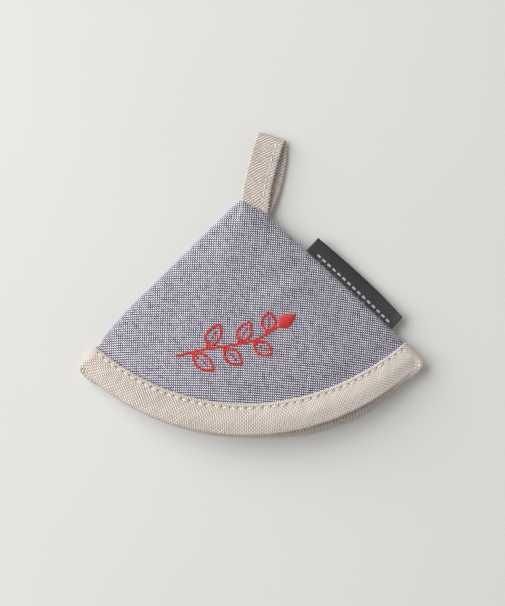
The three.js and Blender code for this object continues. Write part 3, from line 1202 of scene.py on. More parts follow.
def slipped(
    start: np.ndarray, end: np.ndarray, up: np.ndarray, shifts: np.ndarray,
) -> tuple[np.ndarray, np.ndarray]:
    """Move a stitch's two ends sideways along the cloth.

    Args:
        start: Its first end.
        end: Its last end.
        up: The way out of the cloth.
        shifts: How far each end moves.

    Returns:
        The moved ends.
    """
    side = unit(np.cross(up, end - start))
    return start + side * shifts[0], end + side * shifts[1]


@dataclass(frozen=True)
class Ridge:
    """A rise along the tape, rounded on both sides."""

    height: float
    at: float
    width: float

    def rise(self, place: np.ndarray) -> np.ndarray:
        """Its height at distances across the tape."""
        return self.height * bell((place - self.at) / self.width)


@dataclass(frozen=True)
class StitchForm:
    """Form of one stitch: a short length of thread that dips into the cloth at both ends."""

    radius: float = 0.21
    stands: float = 0.1
    sinks: float = 0.32
    rings: int = 9
    sides: int = 7

    def surface(self, start: np.ndarray, end: np.ndarray, up: np.ndarray, bow: float = 0.0) -> Surface:
        """One stitch between two places on the cloth.

        Args:
            start: Where it comes out of the cloth.
            end: Where it goes in.
            up: The way out of the cloth.
            bow: How far its middle stands higher, as where it lies over other threads.

        Returns:
            Its closed surface.
        """
        share = np.linspace(0, 1, self.rings)[:, None]
        arch = np.sin(share * np.pi)
        along = unit(end - start)
        up = unit(up - along * np.dot(up, along))
        side = np.cross(along, up)
        lift = -self.sinks + (self.sinks + self.stands + bow) * arch**0.5
        middle = start + (end - start) * share + up * lift
        taper = 0.55 + 0.45 * arch**0.6
        taper[0] = taper[-1] = 0.0
        turns = np.linspace(0, TURN, self.sides, endpoint=False)
        ring = np.cos(turns)[:, None] * side + np.sin(turns)[:, None] * up
        points = middle[:, None, :] + ring[None, :, :] * self.radius * taper[:, :, None]
        length = float(np.linalg.norm(end - start))
        u = np.repeat(share * length, self.sides + 1, axis=1)
        v = np.repeat(np.linspace(0, TURN * self.radius, self.sides + 1)[None, :], self.rings, axis=0)
        return Surface(points, np.stack([u, v], axis=-1), wraps_columns=True)


@dataclass
class PaddedPanel:
    """One padded quarter-circle panel: its outer cloth, rounded side edges and the cotton on its inside."""

    face: Face
    outer: bpy.types.Material
    inner: bpy.types.Material
    rows: int = 118
    columns: int = 168
    start_rounding: tuple = (0.0, 0.06, 0.18, 0.36, 0.6, 0.9, 1.3, 1.8, 2.4, 3.1)
    pucker: float = 0.16
    pucker_length: float = 7.0
    softness: float = 0.1
    softness_length: float = 9.0
    ripple: float = 0.12
    ripple_length: float = 5.0
    skew: float = 0.06
    skew_growth: float = 0.0008
    field_front: float = 3.0
    field_back: float = 8.0

    def spots(self) -> Spot:
        """Places of the panel's points on the plan, from the cut across the point to the mouth."""
        step = np.linspace(-1, 1, self.columns + 1)[None, :]
        start = PLAN.start_radius(step)
        nearest = float(start.mean())
        first = np.array(self.start_rounding)
        rest = np.linspace(first[-1], PLAN.panel_end - nearest, self.rows)[1:]
        share = np.concatenate([first, rest])[:, None] / (PLAN.panel_end - nearest)
        radius = start + (PLAN.panel_end - start) * share
        side = PLAN.spot(radius, step)
        edge = np.minimum(side.edge, radius - start)
        return Spot(side.radius, side.across, side.half, edge)

    def unevenness(self, spot: Spot) -> np.ndarray:
        """Small waves of the outer face.

        Args:
            spot: Places on the plan.

        Returns:
            Heights to add.
        """
        at = PLAN.place(spot, np.zeros(spot.radius.shape))
        x = at[..., 0]
        y = at[..., 1]
        seed = self.field_front if self.face is Face.FRONT else self.field_back
        soft = self.softness * roughness_field(x, y, self.softness_length, seed)
        near_side = bell((spot.edge - 3.2) / 2.4)
        this_side = np.sign(spot.across) * 40
        pucker = self.pucker * near_side * roughness_field(spot.radius, this_side, self.pucker_length, seed)
        near_tape = bell((PLAN.binding_radius - spot.radius) / 7.0)
        ripple = self.ripple * near_tape * roughness_field(
            spot.across, spot.radius * 0.2, self.ripple_length, seed + 1
        )
        creases = 0.0
        if self.face is Face.FRONT:
            right, down = spot.from_point()
            creases = sum(crease.at(right, down) for crease in CREASES)
        inner = ease(spot.edge / 3.0) * (1 - PADDING.pressed_share(spot.radius) * 0.7)
        return (soft + ripple + creases) * inner + pucker * ease(spot.edge / 1.5)

    def make(self) -> bpy.types.Object:
        """Build the panel."""
        spot = self.spots()
        lift = PADDING.tab_lift(spot)
        share = PADDING.edge_share(spot, 0.0)
        seam = PADDING.seam(spot.radius)
        if self.face is Face.FRONT:
            inside = np.maximum(PADDING.front_inside(spot), seam + PADDING.slack + lift)
            crown = PADDING.front_inside(spot) + PADDING.full(spot.radius) + 0.45 * lift
            outside = mix(seam + PADDING.slack + lift, crown, share) + self.unevenness(spot)
            outside = np.maximum(outside, inside)
        else:
            inside = np.minimum(PADDING.back_inside(spot), seam - PADDING.slack - lift)
            floor = PADDING.floor_lift(spot.radius)
            outside = mix(seam - PADDING.slack - lift, floor, share)
            edge_shade = np.maximum(self.unevenness(spot), 0.0) * 0.5
            outside = np.minimum(np.maximum(outside + edge_shade, 0.0), inside)
        top = PLAN.place(spot, outside)
        under = PLAN.place(spot, inside)
        maker = MeshMaker("front_cloth" if self.face is Face.FRONT else "back_cloth")
        flat = self.unrolled(top, spot)
        maker.add(Surface(top, flat, finish=0, flips=self.face is Face.BACK))
        maker.add(Surface(under, flat, finish=1, flips=self.face is Face.FRONT))
        for ends in (slice(-1, None), slice(0, 1)):
            rim = np.concatenate([top[ends], under[ends]])
            maker.add(Surface(rim, np.concatenate([flat[ends], flat[ends] + [0, -1.8]]), finish=0))
        for ends in (slice(0, 1), slice(-1, None)):
            rim = np.concatenate([top[:, ends], under[:, ends]], axis=1)
            maker.add(Surface(rim, np.concatenate([flat[:, ends], flat[:, ends]], axis=1), finish=0))
        piece = maker.make([self.outer, self.inner])
        node = "front_panel" if self.face is Face.FRONT else "back_panel"
        return hold(piece, "chambray", node)

    def unrolled(self, points: np.ndarray, spot: Spot) -> np.ndarray:
        """Places of the panel's points on its flat cloth, with the weave a little askew.

        Args:
            points: The outer face's points.
            spot: Their places on the plan.

        Returns:
            Places along the warp and the weft, in millimetres.
        """
        gaps = np.linalg.norm(np.diff(points, axis=1), axis=-1)
        plan_gaps = np.linalg.norm(np.diff(points[..., :2], axis=1), axis=-1)
        extra = np.cumsum(gaps - plan_gaps, axis=1)
        extra = np.concatenate([np.zeros((len(points), 1)), extra], axis=1)
        middle = points.shape[1] // 2
        extra = extra - extra[:, middle : middle + 1]
        x = points[..., 0] - PLAN.point_x + extra * np.cos(spot.angle)
        y = points[..., 1] - PLAN.point_y + extra * np.sin(spot.angle)
        skewed_x = x - (self.skew + self.skew_growth * x) * y
        skewed_y = y + self.skew * x + self.skew_growth * x**2
        return np.stack([skewed_x, skewed_y], axis=-1)


@dataclass
class MouthBinding:
    """A bias tape folded over the mouth, all the way round it, with its two rows of stitches."""

    tape: bpy.types.Material
    thread: bpy.types.Material
    steps: int = 230
    pocket_corner: float = 8.0
    lip_round: float = 1.25
    lip_blunt: tuple = (0.42, 0.75)
    shoulder_from: float = 6.6
    shoulder_drop: float = 1.08
    shoulder_on_back: float = 0.35
    hem_puff: Ridge = Ridge(height=0.1, at=0.9, width=0.6)
    crown: Ridge = Ridge(height=0.3, at=6.4, width=3.2)
    unevenness: float = 0.09
    unevenness_length: float = 4.5
    back_reach: float = 0.7
    back_reach_more: float = 1.7
    back_reach_fade: float = 0.45
    corner_stretch: tuple = (1.3, 1.9)
    channel: float = 0.12
    hem_round: float = 0.55
    hem_waves: float = 0.2
    hem_wave_length: float = 8.0
    back_from: float = 400.0
    stitch_line: float = 2.1
    stitch_gap: float = 0.42
    stitch_skew: float = 0.08
    stitch_clear: float = 0.24
    stitch_radius: float = 0.33
    fold_clear: float = 1.6
    trough: float = 0.3
    trough_width: float = 0.75
    trough_beat: float = 3.35
    joint_across: float = 43.2
    joint_step: float = 0.35
    joint_notch: float = 2.2
    joint_length: float = 20.0
    joint_notch_width: float = 0.42
    crease_reach: float = 0.7
    crease_depth: float = 0.2
    stitch_path: np.ndarray = field(init=False)
    stitch_out: np.ndarray = field(init=False)
    stitch_around: np.ndarray = field(init=False)

    def along_face(self) -> np.ndarray:
        """Distances from the tape's edge at which its face has points."""
        start = np.array([0.0, 0.06, 0.16, 0.32, 0.55])
        end = PLAN.tape_shown - self.lip_round
        return np.concatenate([start, np.linspace(0.9, end, 19)])

    def ring(self) -> tuple[np.ndarray, np.ndarray]:
        """Stations round the mouth: across the front from the left, and back across the back.

        Returns:
            Shares across, from -1 to 1, and which stations are on the front.
        """
        there = np.linspace(-1, 1, self.steps + 1)
        back = np.linspace(1, -1, self.steps + 1)[1:-1]
        on_front = np.concatenate([np.ones(len(there), bool), np.zeros(len(back), bool)])
        return np.concatenate([there, back])[:, None], on_front[:, None]

    def faces(
        self, radius: np.ndarray, step: np.ndarray, on_front: np.ndarray,
    ) -> tuple[np.ndarray, np.ndarray]:
        """Points of the tape's outer face and of its face in the pocket.

        Args:
            radius: Distances from the mitt's point.
            step: Shares across.
            on_front: Which stations are on the front.

        Returns:
            Points of the outer face and of the inner face.
        """
        offset = PLAN.tape_offset
        outer = PLAN.spot(radius, step, -offset)
        high = np.where(on_front, PADDING.front_top(outer, offset), PADDING.back_underside(outer, offset))
        inner = PLAN.spot(radius, step, self.pocket_corner)
        floor = PADDING.back_inside(inner, offset)
        roof = np.maximum(PADDING.front_inside(inner, offset), floor + 0.04)
        low = np.where(on_front, roof, floor)
        at_corner = np.abs(step) > 1 - 1e-9
        low = np.where(at_corner, (roof + floor) / 2, low)
        return PLAN.place(outer, high), PLAN.place(inner, low)

    def channel_faces(
        self, radius: np.ndarray, step: np.ndarray, on_front: np.ndarray,
    ) -> tuple[np.ndarray, np.ndarray]:
        """Points of the tape's inside, which lies against the panel's outer and inner face.

        Args:
            radius: Distances from the mitt's point.
            step: Shares across.
            on_front: Which stations are on the front.

        Returns:
            Points beside the panel's outer face and beside its inner face.
        """
        gap = self.channel
        spot = PLAN.spot(radius, step, -gap)
        high = np.where(on_front, PADDING.front_top(spot, gap), PADDING.back_underside(spot, gap))
        low = np.where(on_front, PADDING.front_inside(spot, gap), PADDING.back_inside(spot, gap))
        return PLAN.place(spot, high), PLAN.place(spot, low)

    def relief(self, face: np.ndarray, around: np.ndarray, on_front: np.ndarray) -> np.ndarray:
        """How far the outer face stands out of its plain form, away from the corners.

        Args:
            face: Distances from the tape's edge.
            around: Distances round the mouth.
            on_front: Which stations are on the front.

        Returns:
            Heights, below 0 in the trough of the stitching.
        """
        beat = np.cos(around * TURN / self.trough_beat)
        trough = bell((face - self.stitch_line) / self.trough_width) * self.trough * (0.85 + 0.15 * beat)
        shoulder_room = PLAN.tape_shown - self.lip_round - self.shoulder_from
        past_shoulder = clamp((face - self.shoulder_from) / shoulder_room)
        puff = self.hem_puff.rise(face) + self.crown.rise(face)
        puff = puff - np.where(on_front, 1.0, self.shoulder_on_back) * self.shoulder_drop * past_shoulder**2
        uneven = self.unevenness * roughness_field(
            around + 0 * face, face + 0 * around, self.unevenness_length, 6.0
        )
        return puff - trough + uneven * ease(face / 2.0)

    def make(self) -> bpy.types.Object:
        """Build the tape."""
        step, on_front = self.ring()
        face = self.along_face()[None, :]
        base = PLAN.spot(PLAN.binding_radius + 6.0, step)
        around = np.where(on_front, base.across, self.back_from - base.across)
        waves = self.hem_waves * roughness_field(around, 0.0 * around, self.hem_wave_length, 2.0)
        radius = PLAN.binding_radius + waves * (1 - ease(face / 5.0)) + face
        outer, _ = self.faces(radius, step, on_front)
        channel_top, _ = self.channel_faces(radius, step, on_front)
        _, inner = self.faces(PLAN.binding_radius + face, step, on_front)
        out = unit(outer - channel_top)
        hem = 1 - round_over((face + 0.02) / self.hem_round)
        outer = mix(outer, channel_top + out * 0.15, (hem * 0.92)[..., None])
        edge = PLAN.spot(radius, step, -PLAN.tape_offset).edge
        relief = self.relief(face, around, on_front) * ease(edge / 2.0)
        outer = outer + out * relief[..., None]
        lip = self.lip(outer[:, -1], inner[:, -1], step, on_front)
        depth = np.array([0.0, 4.0, 8.0, PLAN.panel_end - PLAN.binding_radius + 0.25])[None, :]
        back_top, back_low = self.channel_faces(PLAN.binding_radius + depth, step, on_front)
        profile = np.concatenate([outer, lip, inner[:, ::-1], back_low, back_top[:, ::-1]], axis=1)
        profile[..., 2] = np.maximum(profile[..., 2], 0.0)
        flat = self.unrolled(profile)
        maker = MeshMaker("mouth_binding")
        maker.add(Surface(profile, flat, wraps_rows=True, wraps_columns=True))
        piece = hold(maker.make([self.tape], joins=False), "natural_tape", "binding")
        self.lay_stitch_line(np.concatenate([profile, profile[:1]]), flat[:, 0, 0])
        return piece

    def lay_stitch_line(self, profile: np.ndarray, around: np.ndarray) -> None:
        """Keep the line that the stitches follow.

        Args:
            profile: Points by station and across the tape, the first station again at the end.
            around: The stations' distances round the mouth.
        """
        face = self.along_face()
        at = int(np.searchsorted(face, self.stitch_line))
        share = (self.stitch_line - face[at - 1]) / (face[at] - face[at - 1])
        line = mix(profile[:, at - 1], profile[:, at], share)
        lengthways = unit(np.gradient(line, axis=0))
        crosswise = unit(profile[:, at + 1] - profile[:, at - 2])
        self.stitch_path = line
        self.stitch_out = unit(np.cross(crosswise, lengthways))
        self.stitch_around = around

    def make_stitches(self) -> bpy.types.Object:
        """Sew the tape's two rows of stitches, over the front and under the back."""
        maker = MeshMaker("binding_stitches")
        over = StitchForm(radius=self.stitch_radius, stands=0.09)
        under = StitchForm(radius=0.2, stands=0.0, sinks=0.3)
        skew = np.array([self.stitch_skew, -self.stitch_skew])
        rng = np.random.default_rng(11)
        first, pitch = NaturalTape.stitch_from, NaturalTape.stitch_pitch
        for k in range(int((self.stitch_around[-1] - first) / pitch)):
            hole = first + k * pitch
            ends = hole + np.array([self.stitch_gap, pitch - self.stitch_gap])
            if self.near_fold(hole) or self.near_fold(hole + pitch):
                continue
            a, b = values_at(self.stitch_path, self.stitch_around, ends)
            out = unit(values_at(self.stitch_out, self.stitch_around, ends.mean()))
            a, b = slipped(a, b, out, rng.normal(0, 0.07, 2) + skew)
            if out[2] < 0:
                a[2] = max(a[2], self.stitch_clear)
                b[2] = max(b[2], self.stitch_clear)
                maker.add(under.surface(a, b, out))
            else:
                maker.add(over.surface(a, b, out, bow=rng.uniform(0, 0.06)))
        return hold(maker.make([self.thread]), "natural_thread")

    def near_fold(self, around: float) -> bool:
        """Whether a place round the mouth lies in the fold at a corner."""
        middle = self.stitch_around[self.steps]
        last = self.stitch_around[-1]
        return min(abs(around), abs(around - middle), abs(around - last)) < self.fold_clear

    def lip(self, start: np.ndarray, end: np.ndarray, step: np.ndarray, on_front: np.ndarray) -> np.ndarray:
        """Points where the tape turns over the mouth's edge.

        Args:
            start: Last points of the outer face.
            end: Last points of the inner face.
            step: Shares across.
            on_front: Which stations are on the front.

        Returns:
            Points by station, from the outer face to the inner one.
        """
        turn = np.linspace(0, np.pi, 15)[1:-1]
        share = ((1 - np.cos(turn)) / 2)[None, :, None]
        flat = mix(start[:, None, :], end[:, None, :], share)
        from_point = flat[..., :2] - [PLAN.point_x, PLAN.point_y]
        away = unit(from_point)
        edge = PLAN.spot(PLAN.mouth_radius, step, -PLAN.tape_offset).edge
        depth = self.lip_round * (1 - self.crease_depth * (1 - round_over(edge / self.crease_reach)))
        depth = depth + np.where(step < 0, *self.corner_stretch) * (1 - ease(edge / 7.0))
        across = PLAN.spot(PLAN.mouth_radius, step).across
        fading = 1 - self.back_reach_fade * ease((across - 45.0) / 25.0)
        behind = self.back_reach + self.back_reach_more * ease((across + 2.0) / 32.0) * fading
        depth = depth + np.where(on_front, 0.0, behind) * ease((edge - 1.0) / 12.0)
        past = (across - self.joint_across) / self.joint_length
        overlap = np.where(past > 0, self.joint_step * (1 - ease(past)), 0.0)
        notch = self.joint_notch * bell((across - self.joint_across) / self.joint_notch_width)
        overlap = np.where(on_front, 0.0, overlap - notch)
        wobble = 0.1 * roughness_field(across + np.where(on_front, 0, 300), 0 * across, 6.0, 4.0)
        reach = (depth + overlap + wobble) * np.sin(turn)[None, :] ** np.where(on_front, *self.lip_blunt)
        flat[..., :2] += away * reach[..., None]
        return flat

    def unrolled(self, profile: np.ndarray) -> np.ndarray:
        """Places on the flat tape.

        Args:
            profile: Points by station and along the tape's section.

        Returns:
            Distances round the mouth and across the tape, in millimetres.
        """
        line = profile[:, 12]
        closed = np.vstack([line, line[:1]])
        around = lengths_along(closed)[:, None]
        section = np.concatenate([profile, profile[:, :1]], axis=1)
        gaps = np.linalg.norm(np.diff(section, axis=1), axis=-1)
        typical = np.median(gaps, axis=0)
        across = np.concatenate([[0.0], np.cumsum(typical)])[None, :]
        return np.stack(np.broadcast_arrays(around, across), axis=-1)


@dataclass
class LoopTape:
    """The hanging loop: a folded, edge-stitched tape turned back on itself, its ends in the point."""

    tape: bpy.types.Material
    thread: bpy.types.Material
    width: float = 12.0
    thickness: float = 1.3
    tab: float = 6.3
    stations: int = 190
    crest_slant: float = 0.003
    edge_round: float = 0.55
    groove: float = 0.32
    groove_width: float = 0.16
    stitch_in: float = 2.9
    stitch_pitch: float = 3.0
    trough: float = 0.12
    path: tuple = (
        (0, 2.42, 0.6), (5, 1.75, 1.6), (13, 1.15, 2.3), (22.5, 0.95, 2.0), (29.0, 1.0, 0.85),
        (31.0, 1.9, 0.1), (29.4, 2.85, -0.75), (22.0, 3.35, -1.25), (13, 3.7, -1.45), (5, 3.9, -1.15),
        (0, 3.78, -0.45),
    )
    stitch_gap: float = 0.35
    stitch_skew: float = 0.1
    unevenness: float = 0.12
    edge_swell: float = 0.12
    lines: list = field(default_factory=list)

    def middle_line(self) -> np.ndarray:
        """The tape's middle line: distances out of the point, heights and distances to the right."""
        turned = smooth_line(np.array(self.path, float), self.stations * 2)
        start = np.array([[-self.tab, self.path[0][1], 0.0]])
        end = np.array([[-self.tab, self.path[-1][1], 0.0]])
        whole = np.vstack([start, turned, end])
        length = lengths_along(whole)[-1]
        return at_lengths(whole, np.linspace(0, length, self.stations))

    def section(self) -> np.ndarray:
        """The tape's section: distances to the right of its middle and out of the loop."""
        half = self.width / 2
        deep = self.thickness / 2
        turns = np.linspace(-90, 90, 13)
        round_off = np.radians(turns)
        right_x = half - self.edge_round + self.edge_round * np.cos(round_off)
        right_y = deep * np.sin(round_off)
        dent = self.groove * bell(right_y / self.groove_width)
        flat_right = np.linspace(-half + self.edge_round, half - self.edge_round, 19)[1:-1]
        over = np.stack([flat_right, np.full(flat_right.shape, -deep)], axis=-1)
        edge = np.stack([right_x - dent, right_y], axis=-1)
        back = np.stack([flat_right[::-1], np.full(flat_right.shape, deep)], axis=-1)
        other = np.stack([-right_x, -right_y], axis=-1)
        return np.concatenate([over, edge, back, other])

    def make(self) -> bpy.types.Object:
        """Build the tape."""
        line = self.middle_line()
        along = lengths_along(line)
        slope = unit(np.gradient(line[:, :2], axis=0))
        out = np.stack([slope[:, 1], -slope[:, 0]], axis=-1)
        section = self.section()
        right = section[None, :, 0]
        deep = section[None, :, 1]
        uneven = self.unevenness * roughness_field(along[:, None], right * 0.25, 7.0, 12.0)
        edge_line = self.width / 2 - self.stitch_in
        beat = 0.8 + 0.2 * np.cos(along[:, None] * TURN / self.stitch_pitch)
        pull = self.trough * bell((right - edge_line) / 0.7) * beat
        swell = self.edge_swell * bell((right - self.width / 2 + 1.2) / 0.9)
        free = ease((line[:, 0] - 1.0) / 4.0)[:, None]
        deep = deep * (1 + (0.9 * swell - pull) / (self.thickness / 2)) + uneven * free
        sideways = right * (1 + 0.012 * roughness_field(along[:, None], 0 * right, 9.0, 15.0))
        sideways = sideways + line[:, None, 2]
        at = (line[:, None, 0] + out[:, None, 0] * deep) * (1 - self.crest_slant * right)
        height = line[:, None, 1] + out[:, None, 1] * deep
        points = LOOP_PLACE.place(at, sideways, np.maximum(height, 0.05))
        around = np.concatenate([section, section[:1]])
        across = lengths_along(around)
        flat = np.stack(np.broadcast_arrays(along[:, None], across[None, :]), axis=-1)
        maker = MeshMaker("loop_tape")
        maker.add(Surface(points, flat, wraps_columns=True))
        middle = points.mean(axis=1, keepdims=True)
        for end in (0, -1):
            fan = np.stack([points[end], np.broadcast_to(middle[end], points[end].shape)], axis=0)
            maker.add(Surface(fan, np.stack([flat[end], flat[end]]), wraps_columns=True))
        self.lay_stitch_lines(points, along)
        return hold(maker.make([self.tape]), "natural_tape", "hanging_loop")

    def lay_stitch_lines(self, points: np.ndarray, along: np.ndarray) -> None:
        """Keep the lines that the edge stitching follows, on the tape's inner and outer face.

        Args:
            points: The tape's points by station.
            along: The stations' distances along the tape.
        """
        section = self.section()
        line_at = self.width / 2 - self.stitch_in
        for face in (-1, 1):
            on_face = np.flatnonzero(np.isclose(section[:, 1], face * self.thickness / 2))
            pick = on_face[np.argmin(np.abs(section[on_face, 0] - line_at))]
            line = points[:, pick]
            lengthways = unit(np.gradient(line, axis=0))
            crosswise = unit(points[:, pick + 1] - points[:, pick - 1])
            self.lines.append((line, unit(np.cross(lengthways, crosswise)), along))

    def make_stitches(self) -> bpy.types.Object:
        """Sew the stitches along the loop's right-hand edge."""
        maker = MeshMaker("loop_stitches")
        form = StitchForm(radius=0.27, stands=0.07)
        skew = np.array([self.stitch_skew, -self.stitch_skew])
        rng = np.random.default_rng(12)
        first = self.tab + 1.2
        for line, out, along in self.lines:
            for begin in np.arange(first, along[-1] - first - self.stitch_pitch, self.stitch_pitch):
                ends = begin + np.array([self.stitch_gap, self.stitch_pitch - self.stitch_gap])
                a, b = values_at(line, along, ends)
                up = unit(values_at(out, along, ends.mean()))
                a, b = slipped(a, b, up, rng.normal(0, 0.08, 2) + skew)
                maker.add(form.surface(a, b, up))
        return hold(maker.make([self.thread]), "natural_thread")


@dataclass
class SideLabel:
    """A narrow satin strip folded lengthways, its cut edges caught in the right-hand seam."""

    satin: bpy.types.Material
    start: float = 32.9
    end: float = 79.6
    shown: float = 7.4
    bow: float = 0.9
    root: float = 2.1
    layer: float = 0.34
    gap: float = 0.14
    droop: float = 1.1
    curl: float = 0.6
    stations: int = 96

    def section(self) -> np.ndarray:
        """The strip's section: how far out of the seam and how far above its middle."""
        flat_part = np.linspace(-self.root, self.shown - 0.7, 22)
        out = np.concatenate([flat_part, self.shown - np.array([0.45, 0.2])])
        full = self.layer + self.gap / 2
        turns = np.radians(np.linspace(-80, 80, 9))
        fold = np.stack([self.shown - 0.2 + 0.3 * np.cos(turns), full * np.sin(turns)], axis=-1)
        under = np.stack([out, np.full(out.shape, -full)], axis=-1)
        over = np.stack([out[::-1], np.full(out.shape, full)], axis=-1)
        inner_out = out[out < self.shown - 0.5]
        inner = np.stack([inner_out, np.full(inner_out.shape, self.gap / 2)], axis=-1)
        low = np.stack([inner_out[::-1], np.full(inner_out.shape, -self.gap / 2)], axis=-1)
        return np.concatenate([under, fold, over, inner, low])

    def make(self) -> bpy.types.Object:
        """Build the label."""
        section = self.section()
        out = section[None, :, 0]
        above = section[None, :, 1]
        share = np.linspace(0, 1, self.stations)[:, None]
        radius = mix(self.start, self.end, share)
        spot = PLAN.spot(radius, np.ones(radius.shape))
        seam = PADDING.seam(radius)
        foot = PLAN.place(spot, seam)
        middling = np.sin(share * np.pi)
        outward = clamp(out / self.shown)
        reach = np.where(out > 0, out * (1 + self.bow / self.shown * middling), out)
        sag = (self.droop * middling - self.curl * (1 - middling)) * outward**2
        wave = 0.16 * roughness_field(share * 47.0, out * 0.3, 9.0, 21.0) * outward
        end_lift = 0.35 * (bell(share / 0.05) + bell((1 - share) / 0.05)) * outward * np.sign(above)
        height = seam + above - sag + wave + end_lift * 0.5
        x = foot[..., 0] + reach * np.cos(spot.angle)
        y = foot[..., 1] + reach * np.sin(spot.angle)
        points = np.stack(np.broadcast_arrays(x, y, height), axis=-1)
        along = radius - self.start
        flat = np.stack(np.broadcast_arrays(along, np.append(section[:, 0], section[0, 0])[None, :]), axis=-1)
        maker = MeshMaker("label_strip")
        maker.add(Surface(points, flat, wraps_columns=True))
        self.close(maker, points, flat)
        return hold(maker.make([self.satin]), "label_satin", "side_label")

    def close(self, maker: MeshMaker, points: np.ndarray, flat: np.ndarray) -> None:
        """Close the strip's two ends across its layers.

        Args:
            maker: Takes the end faces.
            points: The strip's points by station.
            flat: Their flat places.
        """
        count = points.shape[1]
        inner = int(np.sum(self.section()[:, 1] == self.gap / 2))
        outer = count - 2 * inner
        for end in (0, -1):
            ring = points[end]
            uv = flat[end]
            face = list(range(outer))
            core = [count - 1 - k for k in range(inner)] + [outer + inner - 1 - k for k in range(inner)]
            picks = np.linspace(0, len(core) - 1, outer).round().astype(int)
            core = [core[k] for k in picks]
            maker.add(Surface(np.stack([ring[face], ring[core]]), np.stack([uv[face], uv[core]])))


